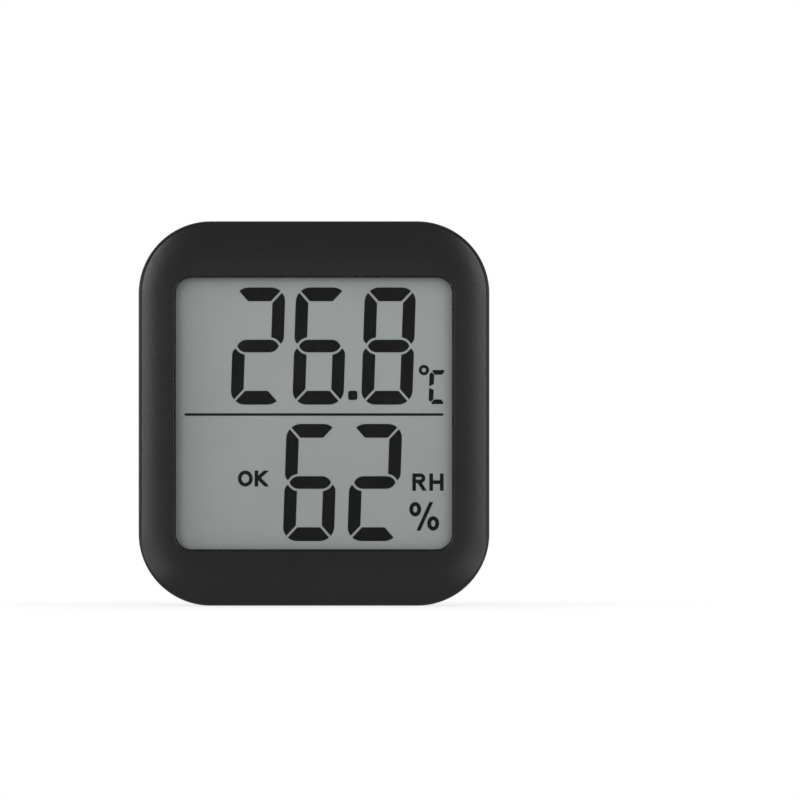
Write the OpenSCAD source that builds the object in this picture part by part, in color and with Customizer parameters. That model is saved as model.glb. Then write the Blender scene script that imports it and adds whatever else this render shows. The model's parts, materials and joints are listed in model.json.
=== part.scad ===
// Desk and wall thermo-hygrometer with a segment display, a slip-off battery door and a fold-out stand.
// Every piece is drawn lying on its back: x to the right, y up the face from its middle, z back to front.
// upright() then stands the piece up: front to -y, top to +z, origin under the middle of the bottom edge.

/* [Body] */
// Width across the face
body_w = 68; // [64:0.5:90]
// Height of the face
body_h = 74.5; // [72:0.5:100]
// Depth from front face to back
body_d = 15; // [14.8:0.1:20]
// Corner radius of the face
corner_r = 14; // [12.5:0.5:18]
// Radius of the large round at the back edge
back_r = 12; // [10:0.5:12.5]
// Small round at the very edge of the front
rim_r = 1.2; // [0.8:0.1:1.6]
// How far the front surface falls back at its edge
rim_drop = 2.2; // [1.9:0.1:2.4]
// Width of the gently domed border of the front
dome_w = 8; // [6:0.5:10]
// Wall thickness of bezel and housing
wall = 1.5; // [1.2:0.1:2]
// Depth of the seam between bezel and housing behind the front face
seam_depth = 2.9; // [2.7:0.1:3.6]
// Width of that seam
seam_gap = 0.25; // [0.1:0.05:0.4]
// Height of the bezel's tongue inside the housing
tongue_h = 1.2; // [0.6:0.1:1.6]
// Thickness of the bezel's face around the display
face_t = 2; // [1.8:0.1:2.4]

/* [Window and display] */
// Width of the window opening
window_w = 53.2; // [48:0.1:54]
// Height of the window opening
window_h = 52.3; // [48:0.1:53]
// Corner radius of the window opening
window_r = 2.9; // [1:0.1:5]
// Widening of the opening towards the front
window_flare = 0.55; // [0.2:0.05:0.8]
// Thickness of the bezel in front of the window pane
lip_t = 0.6; // [0.5:0.05:0.8]
// Overlap of the pane behind the bezel
pane_margin = 0.9; // [0.7:0.1:1.2]
// Thickness of the window pane
pane_t = 0.5; // [0.4:0.05:0.6]
// Thickness of the adhesive frame
tape_t = 0.1; // [0.05:0.05:0.15]
// Overlap of the display glass behind the bezel
glass_margin = 0.8; // [0.6:0.1:1]
// Contact ledge of the front glass above the rear glass
glass_ledge = 2.4; // [2.2:0.1:3]
// Thickness of each display glass
glass_t = 0.4; // [0.3:0.05:0.5]
// Space between the two glasses
crystal_gap = 0.05; // [0.05:0.01:0.08]
// Thickness of a lit segment
segment_t = 0.04; // [0.02:0.01:0.04]
// Thickness of the front polariser and of the reflector
film_t = 0.15; // [0.1:0.05:0.2]
// Height of the rubber connector strip between glass and board
strip_h = 2.5; // [2.2:0.1:3]
// Width of the rubber connector strip
strip_w = 1.8; // [1.2:0.1:2]
// Length of the rubber connector strip
strip_len = 43; // [30:1:44]

/* [Digits] */
// Width of a large digit
digit_w = 9.9; // [8:0.1:10.5]
// Height of a large digit
digit_h = 22.7; // [18:0.1:23]
// Width of the upright segments
side_stroke = 2.44; // [1.8:0.02:2.6]
// Width of the top and bottom segments
end_stroke = 2.67; // [2:0.01:2.8]
// Width of the middle segment
middle_stroke = 2.45; // [2:0.01:2.6]
// Outer corner radius of a digit
digit_r = 2.8; // [2:0.1:3]
// Radius of the pointed ends of the middle segment
point_r = 1.92; // [1.7:0.02:2.1]
// Distance of those arcs' centres from the digit's side
point_in = 2.72; // [2.5:0.02:3]
// Radius of the rounded waist of the upright segments
waist_r = 1.6; // [1.4:0.1:1.8]
// Height of the waist's centre above the middle
waist_up = 1.7; // [1.5:0.1:1.9]
// Gap between segments
segment_gap = 0.45; // [0.3:0.05:0.6]
// Lean of the digits in degrees
digit_lean = 1.95; // [0:0.05:4]
// Foot of the temperature row above the middle of the face
temperature_y = 1.72; // [1.2:0.02:2.4]
// Left sides of the temperature digits
temperature_x = [-15.8, -3.83, 9.5];
// Foot of the humidity row above the middle of the face
humidity_y = -24.72; // [-25:0.02:-24]
// Left sides of the humidity digits
humidity_x = [-5.68, 6.83];
// Side of the square decimal point
point_size = 1.8; // [1.2:0.1:2]
// Middle of the decimal point
point_x = 7.5; // [7.3:0.05:7.8]
// Width of the stroke of the small marks
mark_stroke = 0.7; // [0.4:0.05:0.8]
// Height of the small letters
mark_h = 3.1; // [2.4:0.1:3.6]
// Width of the small letters
mark_w = 2.65; // [2:0.05:3]
// Width of the round small letter
round_w = 2.88; // [2.4:0.02:3]
// Distance from one small letter to the next
mark_pitch = 3.25; // [3.1:0.05:3.6]
// Lower left corner of the comfort mark
comfort_at = [-14.75, -14.15];
// Height of the humidity letters
humidity_mark_h = 3.35; // [2.8:0.05:3.8]
// Width of the humidity letters
humidity_mark_w = 2.75; // [2.2:0.05:3]
// Distance from one humidity letter to the next
humidity_pitch = 3.3; // [3.1:0.05:3.6]
// Lower left corner of the humidity letters
humidity_at = [19.05, -14.97];
// Lower left corner of the percent sign
percent_at = [18.45, -22.7];
// Width of the percent sign
percent_w = 5.8; // [5:0.05:6]
// Height of the percent sign
percent_h = 5.55; // [5:0.05:6]
// Width of the stroke of the percent sign
percent_stroke = 0.76; // [0.5:0.02:0.9]
// Width of a ring of the percent sign
ring_w = 2.32; // [1.8:0.02:2.4]
// Height of a ring of the percent sign
ring_h = 2.8; // [2.2:0.02:2.9]
// Lower left corner of the temperature unit
unit_at = [22.3, 1.82];
// Width of the unit letter
unit_w = 2.9; // [2.6:0.05:3.1]
// Height of the unit letter
unit_h = 6.6; // [5.8:0.05:6.8]
// Width of the unit letter's bars
unit_bar = 0.9; // [0.7:0.05:1]
// Gap between its bars
unit_gap = 0.16; // [0.12:0.02:0.3]
// Height of the blunt tips of its top and bottom bars
unit_tip = 0.25; // [0.1:0.05:0.4]
// Slant of the free ends of those bars
unit_slant = 0.5; // [0.2:0.05:0.8]
// Cut at the waist of its upright bars
unit_notch = 0.4; // [0.2:0.05:0.6]
// Radius of the degree ring
degree_r = 1; // [0.8:0.05:1.2]
// Width of the stroke of the degree ring
degree_stroke = 0.58; // [0.3:0.02:0.7]
// Length of the line between the two rows
divider_len = 50.2; // [40:0.1:52]
// Thickness of that line
divider_t = 0.48; // [0.3:0.01:0.6]
// Distance of that line below the middle of the face
divider_below = 0.2; // [0:0.05:0.4]

/* [Scoop, vents and wall hook] */
// Radius of the hollow across the top of the back
scoop_r = 15.9; // [14:0.1:18]
// Distance of its axis behind the back face
scoop_behind = 11.3; // [10.5:0.1:13]
// Distance of its axis below the top edge
scoop_below = 1; // [0:0.1:2]
// Number of vents in each flank
vent_count = 4; // [2:1:4]
// Distance from one vent to the next
vent_pitch = 3.33; // [2.4:0.01:3.6]
// Height of a vent
vent_h = 1.6; // [1:0.1:1.8]
// Distance of the lowest vent above the door
vent_first = 4.45; // [3.5:0.05:5]
// How far the vents reach round the flank from the back face
vent_depth = 4; // [3:0.1:5]
// Distance of the vents' inner ends from the middle
vent_in = 23.5; // [22:0.1:25]
// Distance from the middle of the draught walls beside the vents
baffle_x = 20; // [18:0.5:21]
// Thickness of a draught wall
baffle_t = 1; // [0.8:0.1:1.4]
// Height of the draught walls above the back face
baffle_h = 7.6; // [5:0.1:7.8]
// Radius of the round part of the hanging hole
hang_r = 3.2; // [2.6:0.1:3.6]
// Radius of the narrow part of the hanging hole
hang_slot_r = 1.7; // [1.2:0.1:2]
// Distance between the two parts' centres
hang_rise = 5.5; // [4:0.1:6.5]
// Centre of the round part above the door
hang_above_door = 6.7; // [5.5:0.1:8]

/* [Battery door] */
// Height of the door's top edge above the bottom
door_top = 44.05; // [42:0.05:46]
// Depth of the door's side seam behind the front face
door_seam_depth = 9.05; // [8.8:0.05:9.3]
// Gap between door and housing
door_gap = 0.3; // [0.15:0.05:0.4]
// Corner radius of the door seen from the side
door_r = 3.7; // [2:0.1:4.5]
// Corner radius of its opening seen from the side
door_opening_r = 1.5; // [0.5:0.1:1.9]
// Thickness of the door
door_wall = 2.1; // [2:0.05:2.4]
// Thickness of the deck under the door
deck_t = 1.35; // [1:0.05:1.6]
// Width of the ribs that carry the door's middle
rib_w = 1.6; // [1:0.1:2.5]
// Clearance of those ribs from the door
rib_clear = 0.3; // [0.2:0.05:0.5]
// Number of grip grooves
grip_count = 4; // [2:1:5]
// Length of a grip groove
grip_len = 14; // [8:1:20]
// Width of a grip groove
grip_w = 0.7; // [0.4:0.1:1]
// Depth of a grip groove
grip_deep = 0.4; // [0.2:0.1:0.6]
// Distance from one groove to the next
grip_pitch = 1.5; // [1.2:0.1:1.6]
// Distance of the upper snap pegs from the middle
peg_x = 12; // [8:0.5:14]
// Distance of the upper snap pegs below the door's top edge
peg_below = 1.6; // [1.5:0.1:2]
// Distance of the side snap pegs from the outside of the body
side_peg_inset = 5.2; // [5:0.1:5.6]
// Distance of the side snap pegs below the door's top edge
side_peg_below = 15.3; // [12:0.1:18]
// Width of a snap peg
peg_w = 4; // [3:0.1:5]
// Thickness of a snap peg
peg_t = 1.2; // [0.9:0.1:1.4]
// How far a snap peg reaches past the deck
peg_past = 0.7; // [0.4:0.1:1]
// Clearance of a snap peg in its slot
peg_clear = 0.3; // [0.2:0.05:0.4]

/* [Stand] */
// Thickness of the stand
stand_t = 1.2; // [1:0.05:1.3]
// Gap between stand and door
stand_gap = 0.2; // [0.1:0.05:0.25]
// Height of the stand's top edge above the bottom
stand_top = 32.3; // [31.5:0.1:33]
// Distance of the hinge axis below the stand's top edge
hinge_below = 0.1; // [0:0.05:0.3]
// Distance from the stand's top edge to the slope at the end of its pocket
ramp_gap = 1.1; // [0.9:0.1:1.5]
// Height of that slope
ramp_h = 1.8; // [1.2:0.1:2.4]
// Thickness of the hinge block behind the barrel's groove
hinge_block_t = 0.9; // [0.6:0.1:1]
// Radius of the hinge barrel
barrel_r = 1.2; // [1:0.05:1.3]
// Clearance of the barrel in its groove
barrel_clear = 0.2; // [0.15:0.05:0.3]
// Radius of the hinge pins
pin_r = 0.6; // [0.45:0.05:0.7]
// Running clearance of the pins
pin_clear = 0.05; // [0.02:0.01:0.08]
// Distance of each barrel's middle from the middle of the stand
barrel_x = 17; // [14:0.5:18]
// Length of a barrel
barrel_len = 6; // [4:0.5:8]
// Thickness of a hinge lug
lug_t = 2; // [1.5:0.1:2.5]
// Side clearance of barrel and lugs
lug_clear = 0.2; // [0.1:0.05:0.3]
// Radius of the finger notch in the stand's lower edge
notch_r = 4.5; // [3:0.5:6]

/* [Cells] */
// Radius of a cell with its sleeve
cell_r = 5.05; // [4.9:0.05:5.2]
// Length of a cell with its button
cell_len = 44.5; // [43.5:0.1:45]
// Radius of the cell's button
button_end_r = 1.9; // [1.5:0.1:2]
// Height of the cell's button
button_end_h = 1; // [0.8:0.1:1.2]
// Thickness of the sleeve
sleeve_t = 0.15; // [0.1:0.05:0.25]
// Bare steel at each end of a cell
sleeve_short = 0.6; // [0.3:0.1:1]
// Axis of the lower cell above the bottom edge
cell_low = 13.5; // [13.2:0.1:14]
// Distance between the two axes
cell_pitch = 11.3; // [10.8:0.1:11.6]
// Clearance between cells and door
cell_clear = 0.1; // [0.05:0.05:0.2]
// Clearance between cells and tray walls
tray_clear = 0.35; // [0.2:0.05:0.6]
// Wall of the battery tray
tray_wall = 1; // [0.8:0.1:1.3]
// Thickness of the tray's floor
tray_floor = 0.8; // [0.6:0.1:0.9]
// Distance of the tray walls' ends from the back face
tray_rear = 4.1; // [3.9:0.1:4.6]
// Thickness of a contact plate
plate_t = 0.4; // [0.2:0.05:0.5]
// Width and height of a contact plate
plate_size = 6.6; // [5:0.1:7]
// Height of the dimple of a positive contact
dimple_h = 1.2; // [0.8:0.1:1.4]
// Length of a compressed spring
spring_len = 3.9; // [3.6:0.1:4.5]
// Radius of the spring wire
wire_r = 0.25; // [0.2:0.01:0.25]
// Radius of the spring at the plate
spring_base_r = 3.2; // [2.8:0.1:3.4]
// Radius of the spring at the cell
spring_tip_r = 1.8; // [1.4:0.1:2]
// Turns of the spring
spring_turns = 3.5; // [2.5:0.5:3.5]
// Width of a contact's solder tail
tail_w = 2; // [1.5:0.1:2.5]
// Thickness of a solder tail
tail_t = 0.4; // [0.2:0.05:0.5]
// How far a solder tail reaches past the tray's wall
tail_past = 0.4; // [0.3:0.1:0.8]
// Radius of a lead
lead_r = 0.45; // [0.35:0.05:0.5]
// Clearance of the leads from what they pass
lead_clear = 0.15; // [0.1:0.05:0.2]

/* [Board and parts on it] */
// Thickness of the main board
board_t = 1; // [0.8:0.1:1.6]
// Distance of the board's edge from the outside of the body
board_inset = 2.4; // [2.2:0.1:3]
// Distance of the board's lower edge above the door
board_above_door = 1.55; // [1.5:0.05:3]
// Distance of the side bosses above the board's lower edge
side_boss_up = 3.4; // [3:0.1:4]
// Side of the square push switch
switch_w = 6; // [4.5:0.1:6.5]
// Height of the switch body
switch_h = 3.5; // [3:0.1:4]
// Radius of the switch plunger
plunger_r = 1.7; // [1.2:0.1:1.8]
// How far the plunger stands out of the switch body
plunger_out = 2.9; // [2.6:0.1:3]
// Thickness of the switch body under the plunger's foot
plunger_foot = 1.5; // [1:0.1:1.6]
// Radius of the button in the back
button_r = 3; // [2.2:0.1:3.2]
// How far the button lies below the back face
button_sunk = 0.2; // [0:0.05:0.4]
// Button travel
button_travel = 0.5; // [0.2:0.05:0.6]
// Clearance of the button in its hole
button_clear = 0.15; // [0.05:0.05:0.2]
// Distance of the button from the middle
button_x = 13; // [11:0.5:16]
// Centre of the button above the door
button_above_door = 6.1; // [6:0.1:10]
// Radius of the button's stem
stem_r = 1.4; // [1:0.1:1.8]
// Thickness of the button's retaining flange
flange_t = 0.7; // [0.5:0.1:0.9]
// Width of that flange round the button
flange_w = 0.9; // [0.6:0.1:1.2]
// Distance of the radio board's middle from the middle of the body
radio_x = 17; // [16.5:0.5:18]
// Distance of the radio board's middle below the top edge
radio_below = 15.25; // [15:0.25:16]
// Width of the radio board
radio_w = 16; // [12:0.5:16.5]
// Height of the radio board
radio_h = 12; // [10:0.5:13]
// Thickness of the radio board
radio_t = 0.8; // [0.6:0.1:1]
// Distance of the radio chip and crystal below the radio board's middle
radio_chip_below = 2; // [1:0.1:3]
// Distance of the crystal from the radio chip's middle
crystal_aside = 5.2; // [4.5:0.1:6]
// Width, height and thickness of the radio chip
radio_chip_size = [5, 5, 0.8];
// Width, height and thickness of the crystal
crystal_size = [2.5, 3.2, 0.7];
// Width of the antenna's line
antenna_line = 0.5; // [0.3:0.1:0.6]
// Height of the antenna's meander
antenna_run = 3; // [2:0.1:3.5]
// Thickness of the antenna's foil
antenna_foil = 0.05; // [0.03:0.01:0.1]
// Distance from one run of the antenna to the next
antenna_pitch = 2; // [1.5:0.1:2.2]
// Number of turns of the antenna
antenna_turns = 6; // [4:1:6]
// Distance of the display driver from the middle
driver_x = 3.5; // [2:0.1:4.5]
// Distance of the display driver's middle below the top edge
driver_below = 11.25; // [11:0.25:13]
// Width, height and thickness of the display driver
driver_size = [9, 7, 1.2];
// Distance of the sensing chip's middle from the board's side edge
sensor_in = 2.7; // [2.4:0.1:3]
// Width, height and thickness of the sensing chip
sensor_size = [2.5, 2.5, 0.9];
// Radius and depth of the hole in the sensing chip's lid
sensor_hole = 0.5; // [0.3:0.05:0.6]
// Width of the slot in the board beside the sensing chip
slot_w = 1; // [0.8:0.1:1.2]
// Length of that slot
slot_len = 8; // [6:0.5:9]
// Distance of that slot's middle from the sensing chip's middle
slot_aside = 2.5; // [2.2:0.1:3]
// Number of capacitors
capacitor_count = 3; // [1:1:3]
// Distance of the capacitors below the top edge
capacitor_below = 6.4; // [6:0.1:6.6]
// Distance from one capacitor to the next
capacitor_pitch = 2.6; // [2:0.1:3]
// Width, height and thickness of a capacitor
capacitor_size = [1.2, 2, 1];
// Number of resistors
resistor_count = 4; // [1:1:4]
// Distance of the first resistor from the middle
resistor_x = 19; // [18:0.5:20]
// Distance of the resistors below the top edge
resistor_below = 14.25; // [13:0.25:15]
// Distance from one resistor to the next
resistor_pitch = 1.6; // [1.4:0.1:1.8]
// Width, height and thickness of a resistor
resistor_size = [0.8, 1.6, 0.5];

/* [Screws] */
// Radius of a screw shank
shank_r = 0.8; // [0.6:0.05:0.85]
// Radius of a screw head
head_r = 1.5; // [1.3:0.05:1.6]
// Height of a screw head
head_h = 0.9; // [0.7:0.05:1]
// Length of a screw shank
shank_len = 3.5; // [2.5:0.1:3.6]
// Clearance of shanks and heads in their holes
screw_clear = 0.05; // [0.03:0.01:0.1]
// Radius of the screw bosses
boss_r = 1.9; // [1.6:0.05:2]
// Distance of the bosses from the outside of the body
boss_inset = 4.3; // [4.2:0.1:4.6]
// Turn of the bosses in the upper corners about those corners, in degrees
upper_boss_turn = 66; // [60:1:75]
// Turn of the bosses in the lower corners about those corners, in degrees
lower_boss_turn = 78; // [77:1:84]
// Distance of the upper case bosses below the door's top edge
door_boss_below = 4.55; // [4.4:0.05:5]
// Thickness of the pads under the case bosses
pad_t = 0.8; // [0.6:0.1:1]
// Radius of those pads
pad_r = 2.4; // [2.2:0.1:2.5]
// Clearance of the board's holes round the screws
board_hole_clear = 0.2; // [0.1:0.05:0.3]
// Width of the cross recess
drive_w = 0.4; // [0.3:0.05:0.5]
// Length of the cross recess
drive_len = 1.8; // [1.4:0.1:2.2]
// Depth of the cross recess
drive_deep = 0.5; // [0.3:0.05:0.6]

/* [Hidden] */
$fn = 64;

// Finishes
casing = [0.09, 0.09, 0.09];
clear = [0.8, 0.86, 0.86, 0.35];
display_grey = [0.58, 0.6, 0.6];
ink = [0.1, 0.11, 0.11];
board_green = [0.07, 0.3, 0.16];
chip_black = [0.13, 0.13, 0.14];
bright_metal = [0.78, 0.78, 0.76];
nickel = [0.72, 0.7, 0.64];
brass = [0.72, 0.57, 0.3];

// Reach of cutting shapes past the body, and a lap where two solids of one piece join
far = 200;
lap = 0.2;
// Clearance of stacked flat parts in their seats, and of parts that touch
seat_clear = 0.1;
touch_gap = 0.03;

// Levels, measured from the back face
dome_r = (dome_w * dome_w - 2 * dome_w * rim_r + rim_drop * rim_drop) / (2 * (rim_drop - rim_r));
seam_z = body_d - seam_depth;
bezel_z = seam_z + seam_gap / 2;
housing_z = seam_z - seam_gap / 2;
tongue_z = bezel_z - tongue_h;
rebate_z = tongue_z - seat_clear;
tongue_in = wall / 2 + seat_clear;
face_z = body_d - face_t;
lip_z = body_d - lip_t;
pane_front = lip_z - tape_t;
pane_back = pane_front - pane_t;
polariser_front = pane_back - crystal_gap;
glass_front = polariser_front - film_t;
glass_back = glass_front - glass_t;
rear_glass_front = glass_back - crystal_gap;
reflector_front = rear_glass_front - glass_t;
reflector_back = reflector_front - film_t;
board_front = glass_back - strip_h;
board_back = board_front - board_t;

// Heights, measured from the middle of the face
bottom = -body_h / 2;
door_y = bottom + door_top;
step_y = door_y + door_gap + wall;
board_y = door_y + board_above_door;
button_y = door_y + button_above_door;
hang_y = door_y + hang_above_door;
lower_y = bottom + cell_low;
upper_y = lower_y + cell_pitch;

// Door and deck
door_z = body_d - door_seam_depth;
door_front = door_z - door_gap / 2;
deck_back = door_z + door_gap / 2;
deck_front = deck_back + deck_t;

// Stand and hinge
pocket_z = stand_t + stand_gap;
stand_y = bottom + stand_top;
hinge_y = stand_y - hinge_below;
hinge_z = barrel_r;
ramp_foot = stand_y + ramp_gap;
ramp_head = ramp_foot + ramp_h;
lug_r = barrel_r - pin_clear;
hinge_block_z = hinge_z + barrel_r + barrel_clear + hinge_block_t;
lug_span = barrel_len + 2 * lug_clear + 2 * lug_t;
pin_len = lug_span - 2 * lug_clear;

// Battery tray
cell_z = door_wall + cell_clear + cell_r;
tray_len = cell_len + 2 * plate_t + dimple_h + spring_len;
tray_bottom = lower_y - cell_r - tray_clear;
tray_top = upper_y + cell_r + tray_clear;
tray_front = min(cell_z + cell_r, reflector_back - seat_clear);
floor_back = tray_front - tray_floor;
floor_slot = sqrt(pow(cell_r + tray_clear, 2) - pow(floor_back - cell_z, 2));
room_trim = door_wall + tray_clear;
end_in = tray_len / 2 - plate_t;
tail_len = tray_wall + tail_past;
spring_pitch_room = spring_len - 2 * wire_r - 2 * seat_clear;
cell_start = -end_in + spring_len;

// Screws and bosses: board bosses, then case bosses
corner_x = body_w / 2 - corner_r;
corner_y = body_h / 2 - corner_r;
boss_ring = corner_r - boss_inset;
side_x = body_w / 2 - boss_inset;
board_bosses = [
    for (s = [1, -1]) each [
        [s * side_x, board_y + side_boss_up],
        [s * (corner_x + boss_ring * cos(upper_boss_turn)), corner_y + boss_ring * sin(upper_boss_turn)]
    ]
];
case_bosses = [
    for (s = [1, -1]) each [
        [s * side_x, door_y - door_boss_below],
        [s * (corner_x + boss_ring * cos(lower_boss_turn)), -corner_y - boss_ring * sin(lower_boss_turn)]
    ]
];
pad_front = deck_front + pad_t;
head_seat = deck_back + head_h + seat_clear;
lead_z = pad_front + lead_clear + lead_r;
tail_z = lead_z - tail_t / 2;
case_shank = shank_len + pad_front - head_seat;
board_hole_r = shank_r + board_hole_clear;

// Button and switch
button_back = button_sunk;
flange_z = wall + seat_clear;
flange_r = button_r + flange_w;
switch_z = board_back - switch_h;
plunger_z = switch_z - plunger_out;
plunger_top = board_back - plunger_foot;
stem_end = plunger_z - touch_gap;

// Parts on the board
top = body_h / 2;
radio_pos = [-radio_x, top - radio_below];
radio_back = board_back - radio_t;
driver_pos = [driver_x, top - driver_below];
sensor_pos = [body_w / 2 - board_inset - sensor_in, door_y + vent_first + vent_pitch * (vent_count - 1) / 2];

// Snap pegs of the door: place and which way they are turned
peg_places = [
    for (s = [1, -1]) each [
        [s * peg_x, door_y - peg_below, 0],
        [s * (body_w / 2 - side_peg_inset), door_y - side_peg_below, 90]
    ]
];

function unit(v) = v / norm(v);
function reversed(list) = [for (i = [len(list) - 1:-1:0]) list[i]];
function arc(centre, r, from, to, steps = 8) =
    [for (i = [0:steps]) let (a = from + (to - from) * i / steps) centre + r * [cos(a), sin(a)]];
function bearing(centre, p) =
    let (a = atan2(p[1] - centre[1], p[0] - centre[0])) a < 0 ? a + 360 : a;

// Stands a piece up from the way it is drawn
module upright() translate([0, body_d / 2, body_h / 2]) rotate([90, 0, 0]) children();

// Block between two heights, as wide as any cut needs
module slab(low, high) translate([-far / 2, -far / 2, low]) cube([far, far, high - low]);

// Section at the edge with the large round of the back, moved in by inset
module bowl_section(reach, inset) {
    round_x = reach - back_r;
    intersection() {
        translate([round_x, back_r]) circle(back_r - inset);
        translate([round_x, 0]) square(back_r);
    }
    translate([0, inset]) square([round_x, body_d - inset]);
    translate([0, back_r]) square([reach - inset, body_d - back_r]);
}

// Section at the edge with the domed border and small round of the front
module dome_section(reach) {
    dome_centre = [reach - dome_w, body_d - dome_r];
    rim_centre = [reach - rim_r, body_d - rim_drop];
    meeting = dome_centre + (dome_r + rim_r) * unit(rim_centre - dome_centre);
    square([reach - dome_w, body_d]);
    square([reach, body_d - rim_drop]);
    translate(rim_centre) circle(rim_r);
    intersection() {
        translate(dome_centre) circle(dome_r);
        polygon([
            [dome_centre[0], rim_centre[1] - lap], [dome_centre[0], body_d + rim_r],
            meeting, rim_centre, [rim_centre[0], rim_centre[1] - lap]
        ]);
    }
}

module edge_section(reach, inset, domed) {
    if (domed)
        intersection() {
            bowl_section(reach, inset);
            dome_section(reach);
        }
    else
        bowl_section(reach, inset);
}

module whole_section(reach, inset, domed) {
    edge_section(reach, inset, domed);
    mirror([1, 0]) edge_section(reach, inset, domed);
}

// The body's outer form, or the same form moved in by inset
module pebble(inset = 0, domed = false) {
    side = body_w / 2 - corner_r;
    end = body_h / 2 - corner_r;
    for (x = [-side, side], y = [-end, end])
        translate([x, y, 0]) rotate_extrude() edge_section(corner_r, inset, domed);
    translate([0, end, 0])
        rotate([90, 0, 0]) linear_extrude(2 * end) whole_section(body_w / 2, inset, domed);
    translate([-side, 0, 0])
        rotate([90, 0, 90]) linear_extrude(2 * side) whole_section(body_h / 2, inset, domed);
}

module rounded_rect(w, h, r) {
    square([w - 2 * r, h], center = true);
    square([w, h - 2 * r], center = true);
    for (x = [-1, 1], y = [-1, 1])
        translate([x * (w / 2 - r), y * (h / 2 - r)]) circle(r);
}

// Plate with round corners between two heights
module plate(w, h, r, low, high)
    translate([0, 0, low]) linear_extrude(high - low) rounded_rect(w, h, r);

// Opening with round corners that widens towards the front
module flared_opening(w, h, r, flare, low, high) {
    for (x = [-1, 1], y = [-1, 1])
        translate([x * (w / 2 - r), y * (h / 2 - r), low])
            cylinder(h = high - low, r1 = r, r2 = r + flare);
    translate([0, h / 2 - r, 0]) rotate([90, 0, 0]) linear_extrude(h - 2 * r)
        polygon([[-w / 2, low], [w / 2, low], [w / 2 + flare, high], [-w / 2 - flare, high]]);
    translate([-w / 2 + r, 0, 0]) rotate([90, 0, 90]) linear_extrude(w - 2 * r)
        polygon([[-h / 2, low], [h / 2, low], [h / 2 + flare, high], [-h / 2 - flare, high]]);
}

// Box by its low and high corners
module block(low, high) translate(low) cube(high - low);

// Prism along x of an outline given in y and z
module along_x(from, to)
    translate([from, 0, 0]) rotate([90, 0, 90]) linear_extrude(to - from) children();

// Round bar along x
module rod_x(from, to, r, y, z)
    translate([from, y, z]) rotate([0, 90, 0]) cylinder(h = to - from, r = r);

// Front bezel: domed face, skirt with tongue, seats for pane and display, screw bosses
module bezel_boss(place, foot) {
    translate([place[0], place[1], foot]) cylinder(h = face_z + lap - foot, r = boss_r);
}

module boss_hole(place, foot, depth) {
    translate([place[0], place[1], foot - lap]) cylinder(h = depth + lap, r = shank_r + screw_clear);
}

module front_bezel() color(casing) upright() {
    seat_w = window_w + 2 * glass_margin + 2 * seat_clear;
    seat_low = -window_h / 2 - glass_margin - seat_clear;
    seat_high = window_h / 2 + glass_margin + glass_ledge + seat_clear;
    over = lap * lip_t;
    difference() {
        union() {
            difference() {
                intersection() {
                    pebble(0, true);
                    slab(bezel_z, far);
                }
                intersection() {
                    pebble(wall);
                    slab(-far, face_z);
                }
            }
            difference() {
                intersection() {
                    pebble(tongue_in);
                    slab(tongue_z, face_z);
                }
                pebble(wall);
            }
            for (place = board_bosses)
                bezel_boss(place, board_front);
            for (place = case_bosses)
                bezel_boss(place, pad_front);
        }
        flared_opening(window_w, window_h, window_r, window_flare * (1 + lap), lip_z - over, body_d + over);
        plate(
            window_w + 2 * pane_margin + 2 * seat_clear, window_h + 2 * pane_margin + 2 * seat_clear,
            window_r, reflector_back - far, lip_z
        );
        block([-seat_w / 2, seat_low, reflector_back - far], [seat_w / 2, seat_high, pane_back]);
        for (place = board_bosses)
            boss_hole(place, board_front, shank_len);
        for (place = case_bosses)
            boss_hole(place, pad_front, shank_len);
    }
}

// Adhesive frame between bezel and pane
module window_tape() color(ink) upright() difference() {
    plate(window_w + 2 * pane_margin, window_h + 2 * pane_margin, window_r, pane_front, lip_z);
    plate(window_w + pane_margin, window_h + pane_margin, window_r, pane_front - lap, lip_z + lap);
}

// Clear window pane
module display_window() color(clear) upright()
    plate(window_w + 2 * pane_margin, window_h + 2 * pane_margin, window_r, pane_back, pane_front);

// Sheets of the display, with the contact ledge at the top where asked
module display_sheet(ledge, low, high) {
    half_w = window_w / 2 + glass_margin;
    half_h = window_h / 2 + glass_margin;
    block([-half_w, -half_h, low], [half_w, half_h + ledge, high]);
}

module front_polariser() color(clear) upright() display_sheet(0, glass_front, polariser_front);
module front_glass() color(clear) upright() display_sheet(glass_ledge, glass_back, glass_front);
module rear_glass() color(display_grey) upright() display_sheet(0, reflector_front, rear_glass_front);
module reflector() color(display_grey) upright() display_sheet(0, reflector_back, reflector_front);

// Seven segments of a large digit, each an outline with its foot at the digit's lower left corner.
// The upper left quarter is worked out, and the others are its mirror images.
digit_mid = digit_h / 2;
tip_step = 2;
mitre = unit([side_stroke, -end_stroke]);
mitre_out = [-mitre[1], mitre[0]];
outer_centre = [digit_r, digit_h - digit_r];
point_centre = [point_in, digit_mid + middle_stroke / 2 - point_r];
waist_centre = [waist_r, digit_mid + waist_up];

function mirror_side(p) = reversed([for (q = p) [digit_w - q[0], q[1]]]);
function mirror_foot(p) = reversed([for (q = p) [q[0], digit_h - q[1]]]);
// Where a line from the digit's outer corner along the mitre enters the rounded corner
function corner_entry(start) =
    let (q = start - outer_centre, b = q * mitre)
    start + (-b - sqrt(b * b - q * q + digit_r * digit_r)) * mitre;
// Outer meeting point of the waist arc and the arc that clears the middle segment
function waist_tip() =
    let (
        r = point_r + segment_gap,
        d = point_centre - waist_centre,
        s = norm(d),
        a = (waist_r * waist_r - r * r + s * s) / (2 * s),
        h = sqrt(waist_r * waist_r - a * a)
    )
    waist_centre + a * d / s - h * [-d[1], d[0]] / s;

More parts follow.
